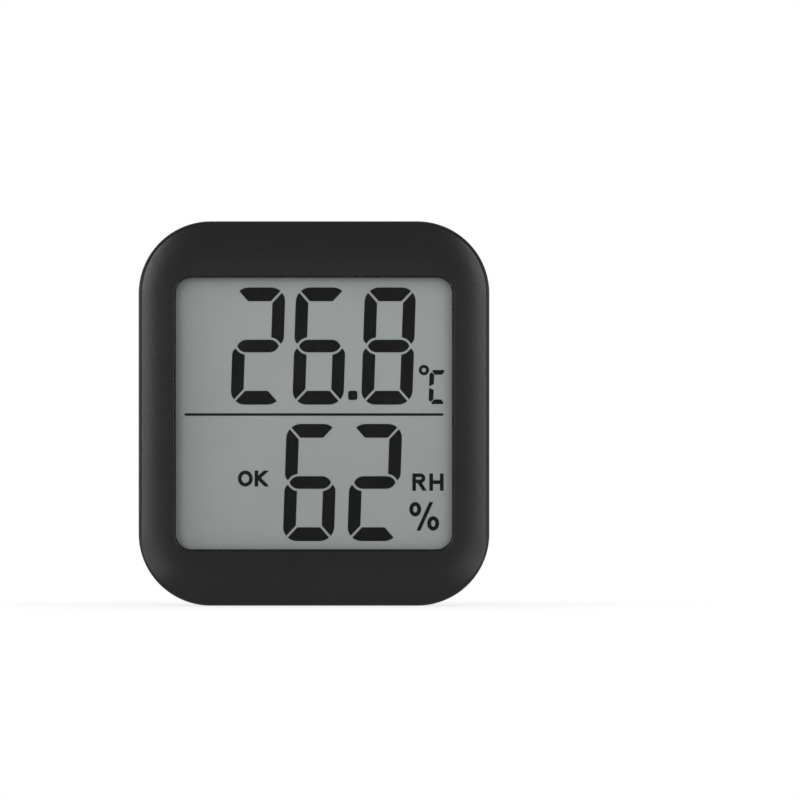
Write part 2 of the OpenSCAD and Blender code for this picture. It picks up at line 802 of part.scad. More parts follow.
function top_segment() =
    let (
        start = [0, digit_h] + mitre_out * segment_gap / 2,
        entry = corner_entry(start),
        inner = start + (digit_h - end_stroke - start[1]) / mitre[1] * mitre,
        half = concat([inner], arc(outer_centre, digit_r, bearing(outer_centre, entry), 90))
    )
    concat(half, mirror_side(half));
function upper_left_segment() =
    let (
        start = [0, digit_h] - mitre_out * segment_gap / 2,
        entry = corner_entry(start),
        inner = start + (side_stroke - start[0]) / mitre[0] * mitre,
        tip = waist_tip(),
        clear_r = point_r + segment_gap,
        past_tip = bearing(point_centre, tip) - tip_step
    )
    concat(
        [inner],
        arc(outer_centre, digit_r, bearing(outer_centre, entry), 180),
        arc(waist_centre, waist_r, 180, bearing(waist_centre, tip)),
        arc(point_centre, clear_r, past_tip, acos((side_stroke - point_in) / clear_r))
    );
function middle_segment() =
    let (
        quarter = arc(point_centre, point_r, 180 - asin((point_r - middle_stroke / 2) / point_r), 90),
        upper = concat(quarter, mirror_side(quarter)),
        lower = mirror_foot(upper)
    )
    concat(upper, [for (i = [1:len(lower) - 2]) lower[i]]);
function segment(name) =
    name == "top" ? top_segment() :
    name == "bottom" ? mirror_foot(top_segment()) :
    name == "middle" ? middle_segment() :
    name == "upper_left" ? upper_left_segment() :
    name == "upper_right" ? mirror_side(upper_left_segment()) :
    name == "lower_left" ? mirror_foot(upper_left_segment()) :
    mirror_side(mirror_foot(upper_left_segment()));
function leaned(p, mid = digit_mid) = [for (q = p) [q[0] + (q[1] - mid) * tan(digit_lean), q[1]]];

two = ["top", "upper_right", "middle", "lower_left", "bottom"];
six = ["top", "upper_left", "middle", "lower_left", "lower_right", "bottom"];
eight = ["top", "upper_left", "upper_right", "middle", "lower_left", "lower_right", "bottom"];

module digit(lit, x, y)
    for (name = lit)
        translate([x, y, rear_glass_front]) linear_extrude(segment_t) polygon(leaned(segment(name)));

// Temperature row with its decimal point
module temperature_digits() color(ink) upright() {
    point_y = temperature_y + point_size;
    digit(two, temperature_x[0], temperature_y);
    digit(six, temperature_x[1], temperature_y);
    digit(eight, temperature_x[2], temperature_y);
    translate([point_x, point_y, 0])
        plate(point_size, point_size, point_size / 4, rear_glass_front, rear_glass_front + segment_t);
}

// Humidity row
module humidity_digits() color(ink) upright() {
    digit(six, humidity_x[0], humidity_y);
    digit(two, humidity_x[1], humidity_y);
}

// Strokes of the small marks, drawn from their lower left corners
module stroke(from, to, w = mark_stroke) {
    side = w / 2 * unit([from[1] - to[1], to[0] - from[0]]);
    polygon([from - side, to - side, to + side, from + side]);
}

module oval(half_w, half_h) {
    steps = 32;
    polygon([for (i = [0:steps - 1]) let (a = i * 360 / steps) [half_w * cos(a), half_h * sin(a)]]);
}

module oval_ring(w, h, t) translate([w / 2, h / 2]) difference() {
    oval(w / 2, h / 2);
    oval(w / 2 - t, h / 2 - t);
}

module upright_bar(x, h) translate([x, 0]) square([mark_stroke, h]);

module letter_k() {
    arm = [mark_stroke / 2, mark_h * 0.42];
    leg = [mark_stroke, mark_h * 0.55];
    upright_bar(0, mark_h);
    intersection() {
        square([mark_w, mark_h]);
        union() {
            stroke(arm, [mark_w, mark_h + mark_stroke / 2]);
            stroke(leg, [mark_w, -mark_stroke / 3]);
        }
    }
}

module letter_r(w, h) {
    bowl_r = h * 0.28;
    bowl_x = w - bowl_r - mark_stroke / 3;
    bowl_foot = h - 2 * bowl_r;
    leg_top = w * 0.45;
    leg_foot = w * 0.95;
    upright_bar(0, h);
    translate([0, bowl_foot]) difference() {
        union() {
            square([bowl_x, 2 * bowl_r]);
            translate([bowl_x, bowl_r]) circle(bowl_r);
        }
        translate([mark_stroke / 2, mark_stroke])
            square([bowl_x - mark_stroke / 2, 2 * (bowl_r - mark_stroke)]);
        translate([bowl_x, bowl_r]) circle(bowl_r - mark_stroke);
    }
    intersection() {
        square([w, h]);
        stroke([leg_top, bowl_foot + mark_stroke / 2], [leg_foot, -mark_stroke / 2]);
    }
}

module letter_h(w, h) {
    upright_bar(0, h);
    upright_bar(w - mark_stroke, h);
    translate([0, (h - mark_stroke) / 2]) square([w, mark_stroke]);
}

module percent_sign() {
    slash_foot = percent_w * 0.24;
    slash_head = percent_w * 0.67;
    run = [percent_stroke, 0];
    foot = [slash_foot, 0];
    head = [slash_head, percent_h];
    translate([0, percent_h - ring_h]) oval_ring(ring_w, ring_h, percent_stroke);
    translate([percent_w - ring_w, 0]) oval_ring(ring_w, ring_h, percent_stroke);
    polygon([foot, foot + run, head + run, head]);
}

// Degree ring and the four mitred bars of the unit letter, whose lower half mirrors its upper half
module degree_unit() {
    half_bar = unit_bar / 2;
    waist = unit_h / 2 + unit_gap;
    crown = unit_h - half_bar;
    top_bar = [
        [half_bar + unit_gap, unit_h],
        [half_bar + unit_gap / 2, unit_h - unit_tip],
        [unit_bar + unit_gap / 2, unit_h - unit_bar],
        [unit_w - unit_slant, unit_h - unit_bar],
        [unit_w, unit_h - unit_tip],
        [unit_w - unit_tip / 2, unit_h]
    ];
    side_bar = [
        [0, waist],
        [unit_bar, waist + unit_notch],
        [unit_bar, unit_h - unit_bar - unit_gap / 2],
        [half_bar, crown],
        [0, unit_h - unit_bar + unit_gap]
    ];
    translate([-degree_r, unit_h]) difference() {
        circle(degree_r);
        circle(degree_r - degree_stroke);
    }
    for (bar = [top_bar, side_bar]) {
        polygon(leaned(bar, unit_h / 2));
        polygon(leaned(reversed([for (q = bar) [q[0], unit_h - q[1]]]), unit_h / 2));
    }
}

// Unit marks, the comfort mark and the line between the rows
module display_marks() color(ink) upright() translate([0, 0, rear_glass_front]) linear_extrude(segment_t) {
    translate(comfort_at) oval_ring(round_w, mark_h, mark_stroke);
    translate(comfort_at + [mark_pitch, 0]) letter_k();
    translate(humidity_at) letter_r(humidity_mark_w, humidity_mark_h);
    translate(humidity_at + [humidity_pitch, 0]) letter_h(humidity_mark_w, humidity_mark_h);
    translate(percent_at) percent_sign();
    translate(unit_at) degree_unit();
    translate([0, -divider_below]) rounded_rect(divider_len, divider_t, divider_t / 2 - touch_gap);
}

// Striped rubber strip that joins the display to the board
module connector_strip() color([0.75, 0.72, 0.66]) upright() {
    strip_y = window_h / 2 + glass_margin + glass_ledge / 2;
    block([-strip_len / 2, strip_y - strip_w / 2, board_front],
        [strip_len / 2, strip_y + strip_w / 2, glass_back]);
}

// Main board, with a slot that keeps its warmth from the sensing chip
module main_board() color(board_green) upright() difference() {
    outline_r = corner_r - board_inset;
    intersection() {
        plate(body_w - 2 * board_inset, body_h - 2 * board_inset, outline_r, board_back, board_front);
        block([-far / 2, board_y, 0], [far / 2, far / 2, far]);
    }
    for (place = board_bosses)
        translate([place[0], place[1], board_back - lap])
            cylinder(h = board_t + 2 * lap, r = board_hole_r);
    translate([sensor_pos[0] - slot_aside - slot_w / 2, sensor_pos[1] - slot_len / 2, board_back - lap])
        cube([slot_w, slot_len, board_t + 2 * lap]);
}

// Chip of a given width, height and thickness lying on the back of a board
module chip(place, size, back)
    translate([place[0] - size[0] / 2, place[1] - size[1] / 2, back - size[2]]) cube(size);

module radio_board() color([0.08, 0.12, 0.3]) upright()
    chip(radio_pos, [radio_w, radio_h, radio_t], board_back);
module radio_chip() color(chip_black) upright()
    chip(radio_pos - [0, radio_chip_below], radio_chip_size, radio_back);
module radio_crystal() color(bright_metal) upright()
    chip(radio_pos - [crystal_aside, radio_chip_below], crystal_size, radio_back);

// Printed antenna: a meander of thin copper along the upper edge of the radio board
module radio_antenna() color(brass) upright() {
    line = antenna_line;
    pitch = antenna_pitch;
    first = radio_pos - [antenna_turns * pitch / 2, -radio_h / 2 + antenna_run + line];
    translate([first[0], first[1], radio_back - antenna_foil]) linear_extrude(antenna_foil) {
        for (i = [0:antenna_turns])
            translate([i * pitch, 0]) square([line, antenna_run]);
        for (i = [0:antenna_turns - 1])
            translate([i * pitch, i % 2 == 0 ? antenna_run - line : 0]) square([pitch + line, line]);
    }
}

module display_driver() color(chip_black) upright() chip(driver_pos, driver_size, board_back);

// Sensing chip with the small hole in its lid
module sensor_chip() color(chip_black) upright() difference() {
    chip(sensor_pos, sensor_size, board_back);
    translate([sensor_pos[0], sensor_pos[1], board_back - sensor_size[2] - lap])
        cylinder(h = sensor_hole + lap, r = sensor_hole);
}

module capacitors() color([0.6, 0.45, 0.3]) upright()
    for (i = [0:capacitor_count - 1])
        chip([i * capacitor_pitch, top - capacitor_below], capacitor_size, board_back);

module resistors() color(chip_black) upright()
    for (i = [0:resistor_count - 1])
        chip([resistor_x + i * resistor_pitch, top - resistor_below], resistor_size, board_back);

// Push switch: square body with a round well, and its plunger
module switch_body() color(chip_black) upright() difference() {
    well = plunger_top + button_travel + seat_clear - switch_z;
    chip([button_x, button_y], [switch_w, switch_w, switch_h], board_back);
    translate([button_x, button_y, switch_z - lap]) cylinder(h = well + lap, r = plunger_r + button_clear);
}

module switch_plunger() color([0.7, 0.7, 0.68]) upright()
    translate([button_x, button_y, plunger_z]) cylinder(h = plunger_top - plunger_z, r = plunger_r);

// Button in the back: cap, retaining flange and stem
module mode_button() color(casing) upright() translate([button_x, button_y, 0]) {
    translate([0, 0, button_back]) cylinder(h = flange_z + lap - button_back, r = button_r);
    translate([0, 0, flange_z]) cylinder(h = flange_t, r = flange_r);
    translate([0, 0, flange_z + flange_t - lap])
        cylinder(h = stem_end + lap - flange_z - flange_t, r = stem_r);
}

// Pan-head screw with a cross recess, head towards the back
module screw(place, seat, length) translate([place[0], place[1], seat]) difference() {
    union() {
        translate([0, 0, -head_h]) cylinder(h = head_h, r = head_r);
        translate([0, 0, -lap]) cylinder(h = length + lap, r = shank_r);
    }
    for (turn = [0, 90])
        rotate([0, 0, turn]) translate([-drive_len / 2, -drive_w / 2, -head_h - lap])
            cube([drive_len, drive_w, drive_deep + lap]);
}

module board_screws() color(bright_metal) upright()
    for (place = board_bosses)
        screw(place, board_back, shank_len);

module case_screws() color(bright_metal) upright()
    for (place = case_bosses)
        screw(place, head_seat, case_shank);

// Rear housing: shell, deck under the door, battery tray, step, scoop, vents, hanging hole
module scoop(grow) rod_x(-far / 2, far / 2, scoop_r + grow, top - scoop_below, -scoop_behind);

// Space of the door seen from the side, with its rounded upper corner
module door_profile(top, front, r) {
    translate([-far, -far]) square([far + top - r, far + front]);
    translate([-far, -far]) square([far + top, far + front - r]);
    translate([top - r, front - r]) circle(r);
}

module housing_hollow() {
    difference() {
        intersection() {
            pebble(wall);
            block([-far / 2, step_y, 0], [far / 2, far / 2, far]);
        }
        scoop(wall);
    }
    intersection() {
        pebble(wall);
        block([-far / 2, -far / 2, deck_front], [far / 2, step_y + lap, far]);
    }
}

module tray_block() {
    half = tray_len / 2 + tray_wall;
    intersection() {
        block([-half, tray_bottom - tray_wall, tray_rear], [half, tray_top + tray_wall, tray_front]);
        pebble(room_trim);
    }
}

module tray_room() {
    half = tray_len / 2;
    block([-half, tray_bottom, 0], [half, tray_top, floor_back]);
    for (y = [lower_y, upper_y])
        block([-half + plate_t, y - floor_slot, cell_z], [half - plate_t, y + floor_slot, far]);
    for (y = [lower_y, upper_y])
        block([half - lap, y - tail_w / 2 - seat_clear, tail_z - seat_clear],
            [half + tray_wall + lap, y + tail_w / 2 + seat_clear, tail_z + tail_t + seat_clear]);
}

// Walls that keep the board's warm air out of the vented corners
module draught_walls() {
    head = door_y + vent_first + vent_count * vent_pitch;
    difference() {
        for (side = [0, 1])
            mirror([side, 0, 0])
                block([baffle_x - baffle_t / 2, step_y - lap, wall - lap],
                    [baffle_x + baffle_t / 2, head, baffle_h]);
        scoop(wall / 2);
    }
}

// Ribs down the middle of the deck, above and below the tray, just clear of the door
module door_ribs() intersection() {
    pebble(door_wall + rib_clear);
    for (ends = [[tray_top, step_y], [bottom, tray_bottom]])
        block([-rib_w / 2, ends[0], 0], [rib_w / 2, ends[1], deck_back + lap]);
}

// Pads that all but close the door's seam in the middle of its top and its foot
module seam_pads() intersection() {
    pebble();
    union() {
        block([-rib_w / 2, door_y + touch_gap, 0], [rib_w / 2, door_y + door_gap + lap, deck_back + lap]);
        block([-rib_w / 2, bottom, door_front + touch_gap], [rib_w / 2, tray_bottom, deck_back + lap]);
    }
}

module hanging_hole() {
    translate([0, hang_y, -lap]) cylinder(h = wall + 2 * lap, r = hang_r);
    translate([0, hang_y + hang_rise, -lap]) cylinder(h = wall + 2 * lap, r = hang_slot_r);
    block([-hang_slot_r, hang_y, -lap], [hang_slot_r, hang_y + hang_rise, wall + lap]);
}

module vents()
    for (side = [0, 1], i = [0:vent_count - 1])
        mirror([side, 0, 0])
            block([vent_in, door_y + vent_first + i * vent_pitch - vent_h / 2, -lap],
                [far, door_y + vent_first + i * vent_pitch + vent_h / 2, vent_depth]);

module peg(place, grow, low, high)
    translate([place[0], place[1], low]) rotate([0, 0, place[2]])
        translate([-peg_w / 2 - grow, -peg_t / 2 - grow, 0])
            cube([peg_w + 2 * grow, peg_t + 2 * grow, high - low]);

module rear_housing() color(casing) upright() difference() {
    union() {
        difference() {
            intersection() {
                pebble();
                slab(0, housing_z);
            }
            housing_hollow();
            intersection() {
                pebble(wall / 2);
                slab(rebate_z, far);
            }
            along_x(-far / 2, far / 2) door_profile(door_y + door_gap, deck_back, door_opening_r);
            scoop(0);
        }
        tray_block();
        draught_walls();
        door_ribs();
        seam_pads();
        for (place = case_bosses)
            translate([place[0], place[1], deck_back]) cylinder(h = pad_front - deck_back, r = pad_r);
    }
    tray_room();
    vents();
    hanging_hole();
    translate([button_x, button_y, -lap]) cylinder(h = wall + 2 * lap, r = button_r + button_clear);
    for (place = case_bosses) {
        translate([place[0], place[1], deck_back - lap])
            cylinder(h = head_seat + lap - deck_back, r = head_r + 2 * screw_clear);
        translate([place[0], place[1], deck_back]) cylinder(h = far, r = shank_r + 2 * screw_clear);
    }
    for (place = peg_places)
        peg(place, peg_clear, deck_back - lap, far);
}

// Battery door: wraps the lower back and flanks, carries the stand's hinge in its pocket
module hinge_sides() for (side = [0, 1]) mirror([side, 0, 0]) translate([barrel_x, 0, 0]) children();

module stand_pocket() along_x(-far / 2, far / 2) {
    slope = (ramp_head - ramp_foot) / pocket_z;
    polygon([
        [-far, -far], [-far, pocket_z], [ramp_foot, pocket_z],
        [ramp_head + slope * lap, -lap], [ramp_head + slope * lap, -far]
    ]);
}

module hinge_lugs() hinge_sides()
    for (from = [-lug_span / 2, lug_span / 2 - lug_t]) {
        rod_x(from, from + lug_t, lug_r, hinge_y, hinge_z);
        block([from, hinge_y - lug_r, hinge_z], [from + lug_t, hinge_y + lug_r, hinge_block_z - lap]);
        block([from, hinge_y, hinge_z - lug_r], [from + lug_t, ramp_head, pocket_z + lap]);
    }

module door_grips() {
    first = (ramp_head + door_y - (grip_count - 1) * grip_pitch - grip_w) / 2;
    for (i = [0:grip_count - 1])
        translate([-grip_len / 2, first + i * grip_pitch, -lap]) cube([grip_len, grip_w, grip_deep + lap]);
}

module battery_door() color(casing) upright() difference() {
    groove = barrel_len / 2 + lug_clear;
    union() {
        difference() {
            union() {
                difference() {
                    intersection() {
                        pebble();
                        along_x(-far / 2, far / 2) door_profile(door_y, door_front, door_r);
                    }
                    pebble(door_wall);
                }
                hinge_sides() block(
                    [-lug_span / 2 - lug_t, hinge_y - 2 * barrel_r, pocket_z],
                    [lug_span / 2 + lug_t, hinge_y + 2 * barrel_r, hinge_block_z]
                );
                for (place = peg_places)
                    intersection() {
                        peg(place, 0, door_wall / 2, deck_front + peg_past);
                        union() {
                            pebble(door_wall / 2);
                            slab(door_z, far);
                        }
                    }
            }
            stand_pocket();
            hinge_sides() rod_x(-groove, groove, barrel_r + barrel_clear, hinge_y, hinge_z);
            door_grips();
        }
        hinge_lugs();
    }
    hinge_sides() rod_x(-lug_span / 2 - lap, lug_span / 2 + lap, pin_r + pin_clear, hinge_y, hinge_z);
}

// Fold-out stand: thin plate flush with the back, two hinge barrels with moulded pins
module fold_stand() color(casing) upright() {
    notch = barrel_r + stand_gap + lug_clear;
    stand_foot = bottom + back_r - sqrt(pow(back_r, 2) - pow(back_r - stand_t, 2));
    difference() {
        intersection() {
            pebble();
            block([-far / 2, -far / 2, 0], [far / 2, stand_y, stand_t]);
        }
        hinge_sides()
            for (from = [-lug_span / 2, lug_span / 2 - lug_t])
                block([from - lug_clear, hinge_y - notch, -lap], [from + lug_t + lug_clear, far, far]);
        translate([0, stand_foot, -lap]) cylinder(h = stand_t + 2 * lap, r = notch_r);
    }
    hinge_sides() {
        rod_x(-barrel_len / 2, barrel_len / 2, barrel_r, hinge_y, hinge_z);
        rod_x(-pin_len / 2, pin_len / 2, pin_r, hinge_y, hinge_z);
    }
}

// Cells: steel can with its button, and a thin sleeve. Each is drawn with its button to +x.
module cell_at(y, turned)
    translate([0, y, cell_z]) rotate([0, 0, turned ? 180 : 0])
        translate([cell_start, 0, 0]) rotate([0, 90, 0]) children();

module cell_can() {
    can_r = cell_r - sleeve_t - touch_gap;
    cylinder(h = cell_len - button_end_h, r = can_r);
    translate([0, 0, cell_len - button_end_h - lap])
        cylinder(h = button_end_h + lap, r = button_end_r);
}

module cell_sleeve() translate([0, 0, sleeve_short]) difference() {
    cylinder(h = cell_len - button_end_h - 2 * sleeve_short, r = cell_r);
    translate([0, 0, -lap]) cylinder(h = cell_len, r = cell_r - sleeve_t);
}

module lower_cell() color(bright_metal) upright() cell_at(lower_y, false) cell_can();
module upper_cell() color(bright_metal) upright() cell_at(upper_y, true) cell_can();
module lower_sleeve() color([0.2, 0.35, 0.2]) upright() cell_at(lower_y, false) cell_sleeve();
module upper_sleeve() color([0.2, 0.35, 0.2]) upright() cell_at(upper_y, true) cell_sleeve();

// Contact plate at the right-hand end of the tray
module contact_plate(low, high)
    block([end_in, low - plate_size / 2, cell_z - plate_size / 2],
        [end_in + plate_t, high + plate_size / 2, cell_z + plate_size / 2]);

module contact_tail(y)
    block([end_in + plate_t - lap, y - tail_w / 2, tail_z],
        [end_in + plate_t + tail_len, y + tail_w / 2, tail_z + tail_t]);

module contact_dimple(y) rod_x(end_in + touch_gap - dimple_h, end_in + lap, button_end_r, y, cell_z);

module positive_contact() color(nickel) upright() {
    contact_plate(lower_y, lower_y);
    contact_tail(lower_y);
    contact_dimple(lower_y);
}

module negative_contact() color(nickel) upright() {
    contact_plate(upper_y, upper_y);
    contact_tail(upper_y);
}

// One plate at the left joins the two cells
module bridge_contact() color(nickel) upright() mirror([1, 0, 0]) {
    contact_plate(lower_y, upper_y);
    contact_dimple(upper_y);
}

// Tube of triangles along a list of points; ref is a direction that the path never takes
function tube_ring(p, i, r, sides, ref) =
    let (
        last = len(p) - 1,
        t = unit(p[min(i + 1, last)] - p[max(i - 1, 0)]),
        u = unit(cross(ref, t)),
        v = cross(t, u)
    )
    [for (k = [0:sides - 1]) p[i] + r * (cos(k * 360 / sides) * u + sin(k * 360 / sides) * v)];
module tube(p, r, sides, ref) {
    n = len(p);
    points = [for (i = [0:n - 1]) each tube_ring(p, i, r, sides, ref)];
    skin = [
        for (i = [0:n - 2], k = [0:sides - 1])
            let (a = i * sides + k, b = i * sides + (k + 1) % sides)
            each [[a, a + sides, b], [b, a + sides, b + sides]]
    ];
    first = [for (k = [1:sides - 2]) [0, k, k + 1]];
    last = [for (k = [1:sides - 2]) [(n - 1) * sides, (n - 1) * sides + k + 1, (n - 1) * sides + k]];
    polyhedron(points = points, faces = concat(skin, first, last));
}

// Conical spring from the plate to the cell, eight rings to a turn
spring_rings = 8;
spring_sides = 6;
spring_path = [
    for (i = [0:spring_turns * spring_rings])
        let (f = i / (spring_turns * spring_rings), a = i * 360 / spring_rings,
            r = spring_base_r + (spring_tip_r - spring_base_r) * f)
        [end_in - wire_r - seat_clear - spring_pitch_room * f, r * cos(a), r * sin(a)]
];
spring_gap = min([
    for (i = [0:len(spring_path) - 1], j = [i + spring_rings / 2:len(spring_path) - 1])
        if (j < len(spring_path)) norm(spring_path[i] - spring_path[j]) - 2 * wire_r
]);
echo(least_spring_gap = spring_gap);

module spring(y) translate([0, y, cell_z]) tube(spring_path, wire_r, spring_sides, [1, 0, 0]);

module negative_spring() color(nickel) upright() spring(upper_y);
module bridge_spring() color(nickel) upright() mirror([1, 0, 0]) spring(lower_y);

// Leads from the contact tails up the channel beside the tray to the lower edge of the board
lead_sides = 8;
lead_x = end_in + plate_t + tail_len + lead_r;
lead_out = lead_x + 2 * lead_r + lead_clear;
lead_turn = tray_top + tray_wall;
lead_pad_z = board_back - lead_r;
red_path = [
    [lead_x, lower_y - 1, lead_z], [lead_x, lower_y + 2, lead_z],
    [lead_out, upper_y - 3, lead_z], [lead_out, lead_turn + 0.5, lead_z],
    [lead_x - 1.3, lead_turn + 5.5, lead_z], [lead_x - 3.4, lead_turn + 9, lead_z],
    [lead_x - 3.8, board_y - 2, lead_pad_z], [lead_x - 3.8, board_y + 2, lead_pad_z]
];
black_path = [
    [lead_x, upper_y - 1, lead_z], [lead_x, upper_y + 2, lead_z], [lead_x, lead_turn - 0.5, lead_z],
    [lead_x - 2.7, lead_turn + 4.5, lead_z], [lead_x - 4.8, lead_turn + 8, lead_z],
    [lead_x - 5, board_y - 2, lead_pad_z], [lead_x - 5, board_y + 2, lead_pad_z]
];

module red_lead() color([0.75, 0.08, 0.06]) upright() tube(red_path, lead_r, lead_sides, [1, 0, 0.2]);
module black_lead() color([0.05, 0.05, 0.05]) upright() tube(black_path, lead_r, lead_sides, [1, 0, 0.2]);

front_bezel();
window_tape();
display_window();
front_polariser();
front_glass();
temperature_digits();
humidity_digits();
display_marks();
rear_glass();
reflector();
connector_strip();
main_board();
radio_board();
radio_chip();
radio_crystal();
radio_antenna();
display_driver();
sensor_chip();
capacitors();
resistors();
switch_body();
switch_plunger();
mode_button();
board_screws();
case_screws();
rear_housing();
battery_door();
fold_stand();
lower_cell();
lower_sleeve();
upper_cell();
upper_sleeve();
bridge_contact();
bridge_spring();
positive_contact();
negative_contact();
negative_spring();
red_lead();
black_lead();
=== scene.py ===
import json
import math

import bmesh
import bpy
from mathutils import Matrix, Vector


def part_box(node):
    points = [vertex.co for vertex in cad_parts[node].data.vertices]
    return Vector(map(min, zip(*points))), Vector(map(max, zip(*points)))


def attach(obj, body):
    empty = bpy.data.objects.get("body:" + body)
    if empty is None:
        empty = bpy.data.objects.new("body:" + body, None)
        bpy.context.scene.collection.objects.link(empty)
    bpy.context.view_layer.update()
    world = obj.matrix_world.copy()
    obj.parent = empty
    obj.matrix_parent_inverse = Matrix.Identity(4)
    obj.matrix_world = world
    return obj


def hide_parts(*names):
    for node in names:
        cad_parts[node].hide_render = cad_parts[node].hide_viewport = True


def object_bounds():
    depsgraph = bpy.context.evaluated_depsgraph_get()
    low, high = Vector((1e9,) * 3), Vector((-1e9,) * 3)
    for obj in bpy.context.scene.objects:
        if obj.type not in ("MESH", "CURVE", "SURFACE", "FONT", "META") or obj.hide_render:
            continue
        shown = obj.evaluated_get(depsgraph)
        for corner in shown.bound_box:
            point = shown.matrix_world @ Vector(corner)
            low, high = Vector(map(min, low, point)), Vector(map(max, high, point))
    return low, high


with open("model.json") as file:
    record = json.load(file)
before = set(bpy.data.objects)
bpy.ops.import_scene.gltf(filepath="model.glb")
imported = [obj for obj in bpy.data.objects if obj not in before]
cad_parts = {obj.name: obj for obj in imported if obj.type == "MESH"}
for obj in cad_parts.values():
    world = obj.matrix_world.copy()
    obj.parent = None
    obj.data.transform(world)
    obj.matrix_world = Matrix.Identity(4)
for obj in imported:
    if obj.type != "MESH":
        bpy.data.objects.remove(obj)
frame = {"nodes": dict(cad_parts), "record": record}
cad_low, cad_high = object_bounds()


# Rear housing: one injection moulding in matte black plastic with a fine spark-eroded grain.
# It is the sensor's rounded back, with side vents, a hanging hole and the battery bay in the same shot.
# The mould leaves every outer edge slightly round, and the rounds are a little paler and smoother than the
# faces.
MM = 0.001
BUMP_STRENGTH = 0.35
PATCH_SPREAD = (0.3, 0.7)
PIT_SPREAD = (0.25, 0.75)


def filled(tree, socket, value):
    """Sets a socket to a plain value, or links another socket to it."""
    if isinstance(value, bpy.types.NodeSocket):
        tree.links.new(value, socket)
    else:
        socket.default_value = value


def shader(tree, kind, settings=None, **sockets):
    """A shader node with its settings, and its sockets filled."""
    made = tree.nodes.new("ShaderNode" + kind)
    for name, value in (settings or {}).items():
        setattr(made, name, value)
    for name, value in sockets.items():
        filled(tree, made.inputs[name.replace("_", " ")], value)
    return made


def math_of(tree, operation, first, *others):
    """The output of Math nodes that take a value together with each of the others in turn."""
    for other in others or (0.0,):
        made = shader(tree, "Math", {"operation": operation})
        filled(tree, made.inputs[0], first)
        filled(tree, made.inputs[1], other)
        first = made.outputs[0]
    return first


def ranged(tree, value, low, high, to_low, to_high):
    """The output of a smooth Map Range node."""
    made = shader(tree, "MapRange", {"interpolation_type": "SMOOTHSTEP"}, Value=value, From_Min=low,
                  From_Max=high, To_Min=to_low, To_Max=to_high)
    return made.outputs["Result"]


def mixed(tree, factor, first, second):
    """The output of a colour Mix node."""
    made = shader(tree, "Mix", {"data_type": "RGBA"})
    sockets = {socket.identifier: socket for socket in made.inputs}
    filled(tree, sockets["Factor_Float"], factor)
    filled(tree, sockets["A_Color"], first)
    filled(tree, sockets["B_Color"], second)
    return next(socket for socket in made.outputs if socket.identifier == "Result_Color")


def new_effect(name, inputs, outputs):
    """An empty shader node group with its named sockets, and its two end nodes."""
    group = bpy.data.node_groups.new(name, "ShaderNodeTree")
    for label, value in inputs.items():
        group.interface.new_socket(label, in_out="INPUT", socket_type="NodeSocketFloat").default_value = value
    for label in outputs:
        group.interface.new_socket(label, in_out="OUTPUT", socket_type="NodeSocketFloat")
    return group, group.nodes.new("NodeGroupInput"), group.nodes.new("NodeGroupOutput")


def effect(tree, group, **values):
    """The outputs of a node group that is placed in a material with its own values."""
    made = shader(tree, "Group", {"node_tree": group})
    for name, value in values.items():
        made.inputs[name.replace("_", " ")].default_value = value
    return made.outputs


def new_finish(name, **sockets):
    """A material with one Principled BSDF, its plain values set on the shader's own sockets."""
    finish = bpy.data.materials.new(name)
    finish.use_nodes = True
    skin = finish.node_tree.nodes["Principled BSDF"]
    for label, value in sockets.items():
        skin.inputs[label.replace("_", " ")].default_value = value
    return finish, finish.node_tree, skin


def coated(tree, skin, colour=None, gloss=None, height=None, depth=0.0):
    """Links a colour, a roughness and a height to a material's shader."""
    if colour is not None:
        tree.links.new(colour, skin.inputs["Base Color"])
    if gloss is not None:
        tree.links.new(gloss, skin.inputs["Roughness"])
    if height is not None:
        bump = shader(tree, "Bump", Height=height, Strength=BUMP_STRENGTH, Distance=depth)
        tree.links.new(bump.outputs["Normal"], skin.inputs["Normal"])


def patchy(tree, patches, first, second):
    """A colour that drifts from one tone to another over broad patches."""
    return mixed(tree, ranged(tree, patches, *PATCH_SPREAD, 0.0, 1.0), first, second)


def pitted(tree, pits, smooth, rough):
    """A roughness that changes from pit to pit, or from line to line."""
    return ranged(tree, pits, *PIT_SPREAD, smooth, rough)


def object_place(tree):
    """The place on a piece, in the piece's own frame."""
    return shader(tree, "TexCoord").outputs["Object"]


def grey(value):
    """A neutral colour."""
    return (value, value, value, 1.0)


def dress(piece, *finishes):
    """Puts finishes into a piece's material slots."""
    piece.data.materials.clear()
    for finish in finishes:
        piece.data.materials.append(finish)


# Grain of a surface: fine pits, and broad cloudy patches where the texture took differently
grain_group, grain_in, grain_out = new_effect(
    "surface_grain", {"Pit Size": 0.2 * MM, "Patch Size": 9 * MM}, ("Pits", "Patches"))
grain_place = object_place(grain_group)
for size, detail, out in (("Pit Size", 2.0, "Pits"), ("Patch Size", 3.0, "Patches")):
    scale = math_of(grain_group, "DIVIDE", 1.0, grain_in.outputs[size])
    cloud = shader(grain_group, "TexNoise", Vector=grain_place, Scale=scale, Detail=detail, Roughness=0.55)
    grain_group.links.new(cloud.outputs["Fac"], grain_out.inputs[out])


def grained_finish(name, dark, light, smooth, rough, pit, depth, patch=11 * MM, **sockets):
    """A surface whose colour drifts over broad patches, and whose pits break its highlights."""
    finish, tree, skin = new_finish(name, **sockets)
    grain = effect(tree, grain_group, Pit_Size=pit, Patch_Size=patch)
    coated(tree, skin, patchy(tree, grain["Patches"], dark, light),
           pitted(tree, grain["Pits"], smooth, rough), grain["Pits"], depth)
    return finish


